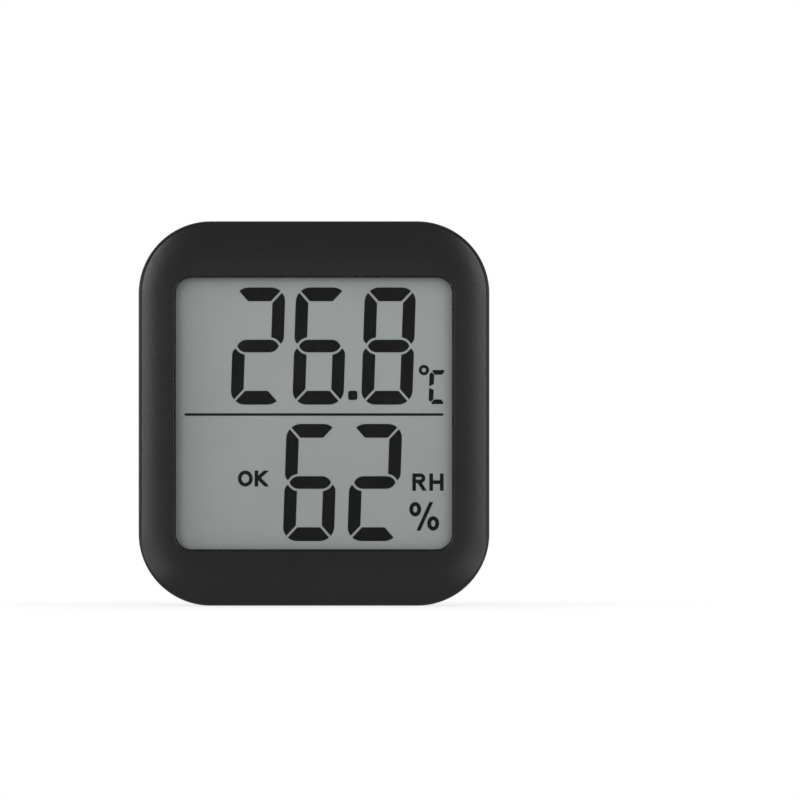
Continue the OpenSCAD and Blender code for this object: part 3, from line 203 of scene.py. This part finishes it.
casing = grained_finish("casing_plastic", dark=grey(0.0066), light=grey(0.0082), smooth=0.25, rough=0.31,
                        pit=0.15 * MM, depth=0.002 * MM, Specular_IOR_Level=0.6, IOR=1.5)
casing_edge = grained_finish("casing_edge", dark=grey(0.0085), light=grey(0.0120), smooth=0.22, rough=0.30,
                             pit=0.15 * MM, depth=0.0015 * MM, Specular_IOR_Level=0.6, IOR=1.5)

MERGE_GAP = 0.002 * MM
TURNED_EDGE = 4 * MM
FLAT_ANGLE = math.radians(0.05)
SHARP_ANGLE = math.radians(28)
SHADE_ANGLE = math.radians(40)


def is_sharp(side):
    """Whether two faces meet at a corner that the mould would leave round."""
    return side.calc_face_angle(0.0) > SHARP_ANGLE


def softened(node, edge, finish, edge_finish=None, steps=2):
    """A merged copy of a node with its sharp edges rounded, in place of the node."""
    shape = bmesh.new()
    shape.from_mesh(frame["nodes"][node].data)
    bmesh.ops.remove_doubles(shape, verts=shape.verts, dist=MERGE_GAP)
    bmesh.ops.dissolve_limit(shape, angle_limit=FLAT_ANGLE, verts=shape.verts, edges=shape.edges)
    # Short edges on a gentle curve are turned to follow it, so that no diagonal shows in a highlight
    shallow = [side for side in shape.edges if not is_sharp(side) and side.calc_length() < TURNED_EDGE]
    triangles = [face for face in shape.faces if len(face.verts) == 3]
    bmesh.ops.beautify_fill(shape, faces=triangles, edges=shallow, use_restrict_tag=False, method="ANGLE")
    for face in shape.faces:
        face.material_index = 0
    # Points that crowd a sharp edge are drawn onto it, to leave room for its round
    ridge = {spot for side in shape.edges if is_sharp(side) for spot in side.verts}
    crowding = {}
    for side in shape.edges:
        on_ridge = [spot for spot in side.verts if spot in ridge]
        if len(on_ridge) == 1 and side.calc_length() < 2 * edge:
            crowding[side.other_vert(on_ridge[0])] = on_ridge[0]
    bmesh.ops.weld_verts(shape, targetmap=crowding)
    rounded = bmesh.ops.bevel(
        shape, geom=[side for side in shape.edges if is_sharp(side)], offset=edge, offset_type="OFFSET",
        affect="EDGES", segments=steps, profile=0.5, material=-1, clamp_overlap=False, loop_slide=False)
    for face in rounded["faces"]:
        face.material_index = 1
    for face in shape.faces:
        face.smooth = True
    # No round may stand out past the node's own box
    low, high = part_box(node)
    for vert in shape.verts:
        vert.co = [min(max(at, least), most) for at, least, most in zip(vert.co, low, high)]
    mesh = bpy.data.meshes.new(node + "_softened")
    shape.to_mesh(mesh)
    shape.free()
    mesh.set_sharp_from_angle(angle=SHADE_ANGLE)
    piece = bpy.data.objects.new(node + "_softened", mesh)
    bpy.context.scene.collection.objects.link(piece)
    piece.modifiers.new("weighted_normals", "WEIGHTED_NORMAL").keep_sharp = True
    bodies = frame["record"]["behaviour"]["bodies"]
    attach(piece, next(body for body, nodes in bodies.items() if node in nodes))
    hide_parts(node)
    dress(piece, finish, edge_finish or finish)
    return piece


softened("rear_housing", 0.1 * MM, casing, casing_edge)


# Contacts and their coils: blanked from nickel-plated spring strip, and wound from plated music wire.
# The strips slide into slots in the bay's end walls, and each coil is pressed on behind its cell.
# Rolling and drawing leave fine lines along the metal, and the plating has dulled in cloudy patches.
LINE_W = 0.12 * MM
DULL_PATCH = 4 * MM
LINE_STRETCH = (0.04, 1.0, 1.0)
drawn_group, drawn_in, drawn_out = new_effect(
    "drawn_metal", {"Line Width": LINE_W, "Patch Size": DULL_PATCH}, ("Lines", "Patches"))
drawn_place = object_place(drawn_group)
along = shader(drawn_group, "Mapping", Vector=drawn_place, Scale=LINE_STRETCH).outputs["Vector"]
for size, vector, out in (("Line Width", along, "Lines"), ("Patch Size", drawn_place, "Patches")):
    scale = math_of(drawn_group, "DIVIDE", 1.0, drawn_in.outputs[size])
    cloud = shader(drawn_group, "TexNoise", Vector=vector, Scale=scale, Detail=3.0, Roughness=0.6)
    drawn_group.links.new(cloud.outputs["Fac"], drawn_out.inputs[out])


def metal_finish(name, dull, bright, smooth, rough, depth=0.004 * MM):
    """Bare or plated metal: drawing lines in its gloss, and patches of duller plating."""
    finish, tree, skin = new_finish(name, Metallic=1.0)
    drawn = effect(tree, drawn_group, Line_Width=LINE_W, Patch_Size=DULL_PATCH)
    coated(tree, skin, patchy(tree, drawn["Patches"], dull, bright),
           pitted(tree, drawn["Lines"], smooth, rough), drawn["Lines"], depth)
    return finish


nickel = metal_finish("nickel_plate", dull=(0.47, 0.45, 0.41, 1.0), bright=(0.62, 0.60, 0.55, 1.0),
                      smooth=0.2, rough=0.38)
for contact in ("positive_contact", "negative_contact", "bridge_contact"):
    softened(contact, 0.05 * MM, nickel)


def drawn_wire(node, route, radius, finish, spline="POLY"):
    """A round wire along a route, in place of the node."""
    path = bpy.data.curves.new(node + "_route", "CURVE")
    path.dimensions = "3D"
    path.bevel_depth = radius
    path.bevel_resolution = 4
    path.resolution_u = 8
    path.use_fill_caps = True
    run = path.splines.new(spline)
    run.points.add(len(route) - 1)
    for point, spot in zip(run.points, route):
        point.co = (*spot, 1.0)
    run.use_endpoint_u = True
    run.order_u = 4
    run.use_smooth = True
    former = bpy.data.objects.new(node + "_route", path)
    bpy.context.scene.collection.objects.link(former)
    bpy.context.view_layer.update()
    mesh = bpy.data.meshes.new_from_object(former.evaluated_get(bpy.context.evaluated_depsgraph_get()))
    bpy.data.objects.remove(former)
    tube = bmesh.new()
    tube.from_mesh(mesh)
    bmesh.ops.remove_doubles(tube, verts=tube.verts, dist=MERGE_GAP)
    bmesh.ops.recalc_face_normals(tube, faces=tube.faces)
    tube.to_mesh(mesh)
    tube.free()
    piece = bpy.data.objects.new(node + "_wire", mesh)
    bpy.context.scene.collection.objects.link(piece)
    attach(piece, "housing")
    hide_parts(node)
    dress(piece, finish)
    return piece


COIL_TURNS = 3.5
COIL_WIDE = 3.2 * MM
COIL_NARROW = 1.8 * MM
COIL_WIRE = 0.25 * MM
COIL_STEPS = 168
for coil, cell, wide_side in (("negative_spring", "upper_cell", 1), ("bridge_spring", "lower_cell", -1)):
    coil_low, coil_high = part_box(coil)
    cell_low, cell_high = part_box(cell)
    outer, inner = (coil_high.x, coil_low.x) if wide_side > 0 else (coil_low.x, coil_high.x)
    outer -= wide_side * COIL_WIRE
    inner += wide_side * COIL_WIRE
    winding = []
    for step in range(COIL_STEPS + 1):
        wound = step / COIL_STEPS
        turn = 2 * math.pi * COIL_TURNS * wound
        reach = COIL_WIDE + (COIL_NARROW - COIL_WIDE) * wound
        winding.append((outer + (inner - outer) * wound,
                        (cell_low.y + cell_high.y) / 2 - reach * math.sin(turn),
                        (cell_low.z + cell_high.z) / 2 + reach * math.cos(turn)))
    drawn_wire(coil, winding, COIL_WIRE, nickel)


# Cells: two dry cells, each a drawn steel can with a pressed cap, in a shrunk printed film sleeve.
# They drop into the bay side by side, the opposite way round, and the contacts hold them.
# The film is a plain dark grey with a pale band round its positive end, and its print is slightly glossy.
can_steel = metal_finish("can_steel", dull=(0.52, 0.51, 0.49, 1.0), bright=(0.67, 0.66, 0.64, 1.0),
                         smooth=0.16, rough=0.3)
for cell in ("lower_cell", "upper_cell"):
    softened(cell, 0.25 * MM, can_steel, steps=3)

BAND_W = 11 * MM
RULE_W = 0.8 * MM
FILM_DARK = (0.030, 0.034, 0.040, 1.0)
FILM_LIGHT = (0.042, 0.047, 0.054, 1.0)
BAND_GREY = (0.46, 0.47, 0.47, 1.0)


def sleeve_finish(sleeve, plus_side):
    """Printed film with a pale band and a thin rule round its positive end."""
    finish, tree, skin = new_finish(sleeve + "_print", Specular_IOR_Level=0.5, Coat_Weight=0.35)
    low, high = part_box(sleeve)
    plus_end = high.x if plus_side > 0 else low.x
    across = shader(tree, "SeparateXYZ", Vector=object_place(tree)).outputs["X"]
    inward = math_of(tree, "MULTIPLY", math_of(tree, "SUBTRACT", plus_end, across), plus_side)
    from_rule = math_of(tree, "ABSOLUTE", math_of(tree, "SUBTRACT", inward, BAND_W + 2 * RULE_W))
    pale = math_of(tree, "MAXIMUM", math_of(tree, "LESS_THAN", inward, BAND_W),
                   math_of(tree, "LESS_THAN", from_rule, RULE_W / 2))
    grain = effect(tree, grain_group, Pit_Size=0.5 * MM, Patch_Size=6 * MM)
    film = patchy(tree, grain["Patches"], FILM_DARK, FILM_LIGHT)
    coated(tree, skin, mixed(tree, pale, film, BAND_GREY), pitted(tree, grain["Pits"], 0.26, 0.36),
           grain["Pits"], 0.006 * MM)
    return finish


for sleeve, plus_side in (("lower_sleeve", 1), ("upper_sleeve", -1)):
    softened(sleeve, 0.05 * MM, sleeve_finish(sleeve, plus_side))


# Boards: glass-fibre laminate with copper tracks under a solder mask, green below and blue on the radio.
# The main board is screwed to four bosses, and the radio board is soldered flat on its back.
# The mask is slightly raised and paler over the copper, and the routed edges show the raw laminate.
LAMINATE = (0.30, 0.25, 0.12, 1.0)
BLOCK_SIZE = 3.2 * MM
TRACK_SIZE = 1.1 * MM
MASK_STEP = 0.03 * MM


def board_finish(name, mask, over_copper):
    """Solder mask over blocks of copper, with bare laminate on the routed edges."""
    finish, tree, skin = new_finish(name, Specular_IOR_Level=0.5)
    spots = shader(tree, "TexCoord")
    blocks = shader(tree, "TexVoronoi", {"distance": "CHEBYCHEV"}, Vector=spots.outputs["Object"],
                    Scale=1 / BLOCK_SIZE, Randomness=0.8)
    tracks = shader(tree, "TexVoronoi", {"distance": "MANHATTAN"}, Vector=spots.outputs["Object"],
                    Scale=1 / TRACK_SIZE, Randomness=0.5)
    copper = math_of(tree, "MULTIPLY", ranged(tree, blocks.outputs["Distance"], 0.38, 0.42, 1.0, 0.0),
                     ranged(tree, tracks.outputs["Distance"], 0.55, 0.6, 1.0, 0.35))
    faced = shader(tree, "SeparateXYZ", Vector=spots.outputs["Normal"]).outputs["Y"]
    routed = math_of(tree, "LESS_THAN", math_of(tree, "ABSOLUTE", faced), 0.5)
    colour = mixed(tree, routed, mixed(tree, copper, mask, over_copper), LAMINATE)
    coated(tree, skin, colour, ranged(tree, copper, 0.0, 1.0, 0.36, 0.26), copper, MASK_STEP)
    return finish


dress(frame["nodes"]["main_board"],
      board_finish("green_mask", mask=(0.006, 0.045, 0.016, 1.0), over_copper=(0.012, 0.085, 0.030, 1.0)))
dress(frame["nodes"]["radio_board"],
      board_finish("blue_mask", mask=(0.006, 0.018, 0.070, 1.0), over_copper=(0.010, 0.032, 0.120, 1.0)))


# Parts on the boards: moulded black packages, a metal-lidded crystal, a copper foil antenna and small chips.
# All are soldered by their undersides or ends, apart from the antenna, which is etched from the board's foil.
# The chip capacitors and resistors have tinned caps on both ends of a ceramic body.
package = grained_finish("moulded_package", dark=grey(0.010), light=grey(0.016), smooth=0.5, rough=0.68,
                         pit=0.09 * MM, depth=0.01 * MM, patch=2 * MM, Specular_IOR_Level=0.4)
for chip in ("radio_chip", "display_driver", "sensor_chip", "switch_body"):
    softened(chip, 0.08 * MM, package)
lid_steel = metal_finish("crystal_lid", dull=(0.55, 0.54, 0.51, 1.0), bright=(0.68, 0.67, 0.64, 1.0),
                         smooth=0.24, rough=0.36)
softened("radio_crystal", 0.12 * MM, lid_steel)
foil = metal_finish("antenna_foil", dull=(0.62, 0.40, 0.16, 1.0), bright=(0.76, 0.52, 0.24, 1.0),
                    smooth=0.26, rough=0.4)
dress(frame["nodes"]["radio_antenna"], foil)
stem = grained_finish("switch_stem", dark=grey(0.60), light=grey(0.68), smooth=0.35, rough=0.5,
                      pit=0.15 * MM, depth=0.006 * MM)
softened("switch_plunger", 0.12 * MM, stem)

TIN_CAP = 0.28
TIN_GREY = grey(0.66)
PALER = 1.4


def chip_finish(chips, body):
    """A ceramic body with a tinned cap on each end."""
    finish, tree, skin = new_finish(chips + "_finish", Specular_IOR_Level=0.5)
    low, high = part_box(chips)
    up = shader(tree, "SeparateXYZ", Vector=object_place(tree)).outputs["Z"]
    from_middle = math_of(tree, "ABSOLUTE", math_of(tree, "SUBTRACT", up, (low.z + high.z) / 2))
    tinned = math_of(tree, "GREATER_THAN", from_middle, (0.5 - TIN_CAP) * (high.z - low.z))
    grain = effect(tree, grain_group, Pit_Size=0.1 * MM, Patch_Size=0.8 * MM)
    tone = mixed(tree, grain["Patches"], body, tuple(PALER * part for part in body[:3]) + (1.0,))
    coated(tree, skin, mixed(tree, tinned, tone, TIN_GREY), pitted(tree, grain["Pits"], 0.3, 0.5),
           grain["Pits"], 0.006 * MM)
    tree.links.new(tinned, skin.inputs["Metallic"])
    return finish


softened("capacitors", 0.07 * MM, chip_finish("capacitors", (0.34, 0.22, 0.12, 1.0)))
softened("resistors", 0.07 * MM, chip_finish("resistors", grey(0.012)))


# Leads: two stranded wires in soft plastic covers, red for the positive side and black for the other.
# They run from the contacts' tails up beside the bay, bend round its corner and are soldered to the board.
# The covers are slightly waxy, with the faint ripple that the extrusion leaves.
LEAD_R = 0.45 * MM
red_route = ((27.05, -1.35, 12.5), (27.05, -1.35, 15.5), (28.1, -1.35, 21.8), (28.1, -1.35, 31.7),
             (25.75, -1.35, 36.7), (23.65, -1.35, 40.2), (23.25, -1.75, 43.6), (23.25, -1.75, 47.6))
black_route = ((27.05, -1.35, 23.8), (27.05, -1.35, 26.8), (27.05, -1.35, 30.7), (24.35, -1.35, 35.7),
               (22.25, -1.35, 39.2), (22.05, -1.75, 43.6), (22.05, -1.75, 47.6))
red_cover = grained_finish("red_cover", dark=(0.36, 0.018, 0.014, 1.0), light=(0.46, 0.030, 0.022, 1.0),
                           smooth=0.32, rough=0.48, pit=0.3 * MM, depth=0.01 * MM, patch=3 * MM)
black_cover = grained_finish("black_cover", dark=grey(0.012), light=grey(0.02), smooth=0.32, rough=0.48,
                             pit=0.3 * MM, depth=0.01 * MM, patch=3 * MM)
for lead, slot, route, cover in (("red_lead", "red_wire", red_route, red_cover),
                                 ("black_lead", "black_wire", black_route, black_cover)):
    drawn_wire(lead, [Vector(spot) * MM for spot in route], LEAD_R, cover, spline="NURBS")


# Display: two sheets of glass with liquid crystal between them, a polariser in front and a reflector behind.
# A strip of striped rubber, squeezed between the glass ledge and the board, carries the signals up to it.
# The grey-green ground carries painted shade that darkens it towards the frame, and the driven segments stand
# on it nearly black.
STRIPE_PITCH = 0.36 * MM
RUBBER_DARK = grey(0.03)
RUBBER_LIGHT = (0.42, 0.38, 0.30, 1.0)


def rubber_finish():
    """Layers of carbon-filled and of plain rubber, side by side."""
    finish, tree, skin = new_finish("striped_rubber", Specular_IOR_Level=0.3)
    stripes = shader(tree, "TexWave", {"bands_direction": "X"}, Vector=object_place(tree),
                     Scale=math.pi / (10 * STRIPE_PITCH)).outputs["Fac"]
    coated(tree, skin, mixed(tree, ranged(tree, stripes, 0.4, 0.6, 0.0, 1.0), RUBBER_DARK, RUBBER_LIGHT),
           ranged(tree, stripes, 0.0, 1.0, 0.7, 0.5))
    return finish


dress(frame["nodes"]["connector_strip"], rubber_finish())
backing = metal_finish("reflector_film", dull=(0.60, 0.61, 0.60, 1.0), bright=(0.70, 0.71, 0.70, 1.0),
                       smooth=0.32, rough=0.46)
dress(frame["nodes"]["reflector"], backing)

OPENING_X = 26.6 * MM
OPENING_LOW, OPENING_HIGH = 11.1 * MM, 63.4 * MM
GROUND_DARK = (0.275, 0.297, 0.293, 1.0)
GROUND_LIGHT = (0.286, 0.308, 0.304, 1.0)
# Each side of the frame's opening: its axis, its place, the way inwards, and its painted shade's depth and
# reach
PAINTED_FRAME_SHADES = (
    ("X", -OPENING_X, 1, 0.30, 5.2 * MM),
    ("X", OPENING_X, -1, 0.10, 1.5 * MM),
    ("Z", OPENING_HIGH, -1, 0.26, 1.5 * MM),
    ("Z", OPENING_LOW, 1, 0.04, 1.2 * MM),
)


def ground_finish():
    """The display's grey-green ground, with painted shade from the frame along its four sides."""
    finish, tree, skin = new_finish("display_ground", Specular_IOR_Level=0.2)
    spots = shader(tree, "SeparateXYZ", Vector=object_place(tree))
    grain = effect(tree, grain_group, Pit_Size=0.12 * MM, Patch_Size=18 * MM)
    grain_and_painted_shade = ranged(tree, grain["Pits"], 0.2, 0.8, 0.98, 1.02)
    # Painted shade: each pass darkens the ground towards one side of the frame's opening, where the frame's
    # shadow falls
    for axis, place, inwards, strength, reach in PAINTED_FRAME_SHADES:
        from_edge = math_of(tree, "MULTIPLY", math_of(tree, "SUBTRACT", spots.outputs[axis], place), inwards)
        fall = math_of(tree, "EXPONENT", math_of(tree, "DIVIDE", from_edge, -reach))
        left = math_of(tree, "SUBTRACT", 1.0, math_of(tree, "MULTIPLY", fall, strength))
        grain_and_painted_shade = math_of(tree, "MULTIPLY", grain_and_painted_shade, left)
    ground = patchy(tree, grain["Patches"], GROUND_DARK, GROUND_LIGHT)
    coated(tree, skin, mixed(tree, grain_and_painted_shade, grey(0.0), ground), pitted(tree, grain["Pits"], 0.5, 0.62))
    return finish


dress(frame["nodes"]["rear_glass"], ground_finish())
ink = grained_finish("driven_segments", dark=grey(0.0085), light=grey(0.0105), smooth=0.5, rough=0.6,
                     pit=0.12 * MM, depth=0.0, patch=5 * MM, Specular_IOR_Level=0.1)
for segments in ("temperature_digits", "humidity_digits", "display_marks"):
    dress(frame["nodes"][segments], ink)


def clear_finish(name, tint, facing, grazing, smooth, rough):
    """A clear sheet that is all but unseen face-on and catches more light at a slant."""
    finish, tree, skin = new_finish(name, Base_Color=tint, IOR=1.49)
    grain = effect(tree, grain_group, Pit_Size=0.6 * MM, Patch_Size=14 * MM)
    coated(tree, skin, gloss=ranged(tree, grain["Patches"], *PATCH_SPREAD, smooth, rough))
    slant = shader(tree, "LayerWeight", Blend=0.35).outputs["Facing"]
    tree.links.new(ranged(tree, slant, 0.0, 1.0, facing, grazing), skin.inputs["Alpha"])
    return finish


def glaze(node, finish):
    """Dresses a clear sheet, and lets the light through it to the display behind."""
    sheet = frame["nodes"][node]
    dress(sheet, finish)
    sheet.visible_shadow = False
    sheet.visible_diffuse = False


glaze("front_polariser", clear_finish("polariser_film", tint=(0.03, 0.035, 0.03, 1.0), facing=0.008,
                                      grazing=0.25, smooth=0.2, rough=0.3))
glaze("front_glass", clear_finish("display_glass", tint=(0.04, 0.06, 0.05, 1.0), facing=0.004,
                                  grazing=0.2, smooth=0.04, rough=0.08))


# Window: a sheet of clear acrylic, die-cut and hard-coated, that covers the display.
# A ring of black foam tape glues it to the ledge behind the bezel's opening.
# The coat has a faint haze that shows only where light rakes across it.
tape = grained_finish("foam_tape", dark=grey(0.010), light=grey(0.018), smooth=0.85, rough=0.95,
                      pit=0.18 * MM, depth=0.03 * MM, patch=3 * MM)
dress(frame["nodes"]["window_tape"], tape)
glaze("display_window", clear_finish("acrylic_pane", tint=(0.04, 0.045, 0.045, 1.0), facing=0.006,
                                     grazing=0.3, smooth=0.06, rough=0.12))


# Front bezel: a second moulding in the same black plastic and grain as the rear housing.
# Its domed border runs round the window and drops to a thin skirt with a tongue behind it.
# The tongue slides inside the housing's edge, and a fine dark line shows where the two meet.
softened("front_bezel", 0.1 * MM, casing, casing_edge)


# Battery door, stand and button: three more mouldings in the same black plastic.
# The door's pegs hold it over the bay, the stand turns on two short barrels, and the button sits in a hole.
# Their rounded edges are a little paler and smoother than the faces, as on the housing.
softened("battery_door", 0.1 * MM, casing, casing_edge)
softened("fold_stand", 0.08 * MM, casing, casing_edge)
softened("mode_button", 0.1 * MM, casing, casing_edge)


# Screws: zinc-plated steel, pan heads with cross recesses, rolled threads left plain here.
# Four hold the main board to the bezel's bosses, and four pull the housing and the bezel together.
screw_zinc = metal_finish("screw_zinc", dull=(0.42, 0.42, 0.42, 1.0), bright=(0.58, 0.58, 0.57, 1.0),
                          smooth=0.24, rough=0.4)
for screws in ("board_screws", "case_screws"):
    softened(screws, 0.07 * MM, screw_zinc)


# Floor: a wide white sweep that the sensor stands on, seen as plain white with the sensor's own soft shadow.
# Further out it fades into the white of the room, so no edge shows behind the sensor.
# Shiny parts see a painted glow in its place, dim in front, paler behind, and bright in two strips beside the
# sensor's face.
FLOOR_R = 6.0
SHADOW_REACH = (0.04, 0.09)
SHADOW_SHARE = 0.72
ROOM_SHINE, NEAR_SHINE, BACK_SHINE, STRIP_SHINE = 0.2, 0.32, 0.6, 1.5
NEAR_REACH, FAR_REACH, BACK_REACH = (0.12, 0.3), (0.4, 2.0), (0.02, 0.15)
STRIP_INNER, STRIP_OUTER, STRIP_REACH = (0.024, 0.05), (0.045, 0.07), (0.1, 0.22)
STRIP_BACK, STRIP_FRONT = (-0.014, -0.004), (-0.075, -0.028)


def floor_finish():
    """White for the camera, with the shadow near the sensor, and a painted glow by place for shiny parts."""
    finish, tree, skin = new_finish("white_sweep", Base_Color=grey(0.95), Roughness=0.9,
                                    Specular_IOR_Level=0.0)
    path = shader(tree, "LightPath").outputs
    away = shader(tree, "VectorMath", {"operation": "LENGTH"}, Vector=object_place(tree)).outputs["Value"]
    spots = shader(tree, "SeparateXYZ", Vector=object_place(tree))
    aside, behind = math_of(tree, "ABSOLUTE", spots.outputs["X"]), spots.outputs["Y"]
    # Painted light: two bright glowing strips on the floor beside the sensor's face, which only shiny parts
    # see
    painted_glow_strips = math_of(tree, "MULTIPLY", ranged(tree, aside, *STRIP_INNER, 0.0, STRIP_SHINE),
                    ranged(tree, behind, *STRIP_BACK, 1.0, 0.0),
                    math_of(tree, "MAXIMUM", ranged(tree, behind, *STRIP_FRONT, 0.0, 1.0),
                            ranged(tree, aside, *STRIP_OUTER, 0.0, 1.0)),
                    ranged(tree, away, *STRIP_REACH, 1.0, 0.0))
    # Painted reflection: the floor's glow as shiny parts see it, dim in front, paler behind, and brightest in
    # the strips
    painted_reflection_glow = math_of(tree, "MAXIMUM", ranged(tree, away, *NEAR_REACH, NEAR_SHINE, ROOM_SHINE),
                       ranged(tree, away, *FAR_REACH, ROOM_SHINE, 1.0),
                       ranged(tree, behind, *BACK_REACH, ROOM_SHINE, BACK_SHINE), painted_glow_strips)
    plain = math_of(tree, "MAXIMUM", path["Is Camera Ray"], path["Is Transmission Ray"])
    level = math_of(tree, "MAXIMUM", plain, math_of(tree, "MULTIPLY", path["Is Glossy Ray"], painted_reflection_glow))
    glow = shader(tree, "Emission", Color=grey(1.0), Strength=level)
    white = math_of(tree, "MULTIPLY", plain, ranged(tree, away, *SHADOW_REACH, SHADOW_SHARE, 1.0))
    blend = shader(tree, "MixShader", Fac=math_of(tree, "MAXIMUM", white, path["Is Glossy Ray"]))
    tree.links.new(skin.outputs[0], blend.inputs[1])
    tree.links.new(glow.outputs[0], blend.inputs[2])
    tree.links.new(blend.outputs[0], tree.nodes["Material Output"].inputs["Surface"])
    return finish


floor_mesh = bpy.data.meshes.new("floor")
disc = bmesh.new()
bmesh.ops.create_circle(disc, cap_ends=True, segments=96, radius=FLOOR_R)
disc.to_mesh(floor_mesh)
disc.free()
floor = bpy.data.objects.new("floor", floor_mesh)
bpy.context.scene.collection.objects.link(floor)
dress(floor, floor_finish())


# Room: a soft pale light from all round and more from above, which the camera sees as plain white.
# Shiny parts see a dimmer room, with pale walls beside the sensor and the white sweep behind it.
# Soft boxes stand in front and behind on both sides, and draw the highlights on the border and the back.
ROOM_LIGHT, CEILING_LIGHT = 0.46, 0.95
SWEEP_SHINE, WALL_SHINE = 1.0, 1.1
SWEEP_SPAN, WALL_SPAN, WALL_FRONT = (0.8, 0.98), (0.88, 1.0), (-0.2, 0.0)


def light_room(tree):
    """Fills a world's node tree with the room's light."""
    tree.nodes.clear()
    path = shader(tree, "LightPath").outputs
    way = shader(tree, "SeparateXYZ", Vector=shader(tree, "TexCoord").outputs["Generated"]).outputs
    room = ranged(tree, way["Z"], 0.0, 1.0, ROOM_LIGHT, CEILING_LIGHT)
    sweep = ranged(tree, way["Y"], *SWEEP_SPAN, ROOM_SHINE, SWEEP_SHINE)
    walls = math_of(tree, "MULTIPLY", ranged(tree, way["Y"], *WALL_FRONT, 0.0, 1.0),
                    ranged(tree, math_of(tree, "ABSOLUTE", way["X"]), *WALL_SPAN, 0.0, WALL_SHINE))
    shine = math_of(tree, "MULTIPLY", math_of(tree, "MAXIMUM", sweep, walls), path["Is Glossy Ray"])
    dull = math_of(tree, "MULTIPLY", room, path["Is Diffuse Ray"])
    level = math_of(tree, "MAXIMUM", path["Is Camera Ray"], path["Is Transmission Ray"], shine, dull)
    tree.links.new(shader(tree, "Background", Color=grey(1.0), Strength=level).outputs[0],
                   shader(tree, "OutputWorld").inputs["Surface"])


world = bpy.data.worlds.new("studio")
bpy.context.scene.world = world
world.use_nodes = True
light_room(world.node_tree)

BOX_AWAY = 0.8
middle = (cad_low + cad_high) / 2


def soft_box(name, turn, lift, width, height, power):
    """A soft box that faces the sensor, at an angle round it from the camera and at an angle above it."""
    lamp = bpy.data.lights.new(name, "AREA")
    lamp.shape = "RECTANGLE"
    lamp.size, lamp.size_y = width, height
    lamp.energy = power
    holder = bpy.data.objects.new(name, lamp)
    bpy.context.scene.collection.objects.link(holder)
    turn, lift = math.radians(turn), math.radians(lift)
    spot = BOX_AWAY * Vector(
        (math.sin(turn) * math.cos(lift), -math.cos(turn) * math.cos(lift), math.sin(lift)))
    holder.location = middle + spot
    holder.rotation_euler = (-spot).to_track_quat("-Z", "Y").to_euler()
    holder.visible_camera = False


soft_box("left_soft_box", turn=-42, lift=10, width=0.30, height=0.75, power=2.33)
soft_box("right_soft_box", turn=42, lift=10, width=0.34, height=0.75, power=1.96)
soft_box("left_rear_soft_box", turn=-156, lift=0, width=0.5, height=1.1, power=0.55)
soft_box("right_rear_soft_box", turn=156, lift=0, width=0.5, height=1.1, power=0.55)


# Camera: level and straight on to the display, with the sensor a little to the left of the picture's middle.
# The long lens keeps the far edges parallel, as in a catalogue picture.
PICTURE_SIDE = 800
PIXELS_PER_M = 5165
SENSOR_AT = Vector((313.95, 413.5))
camera = bpy.data.cameras.new("camera")
camera.lens = 600
camera.sensor_width = 36
camera.clip_end = 50
view_w = PICTURE_SIDE / PIXELS_PER_M
eye = bpy.data.objects.new("camera", camera)
bpy.context.scene.collection.objects.link(eye)
eye.location = (
    (PICTURE_SIDE / 2 - SENSOR_AT.x) / PIXELS_PER_M,
    cad_low.y - view_w * camera.lens / camera.sensor_width,
    middle.z + (SENSOR_AT.y - PICTURE_SIDE / 2) / PIXELS_PER_M,
)
eye.rotation_euler = (math.radians(90), 0, 0)
bpy.context.scene.camera = eye
bpy.context.scene.view_settings.view_transform = "Standard"
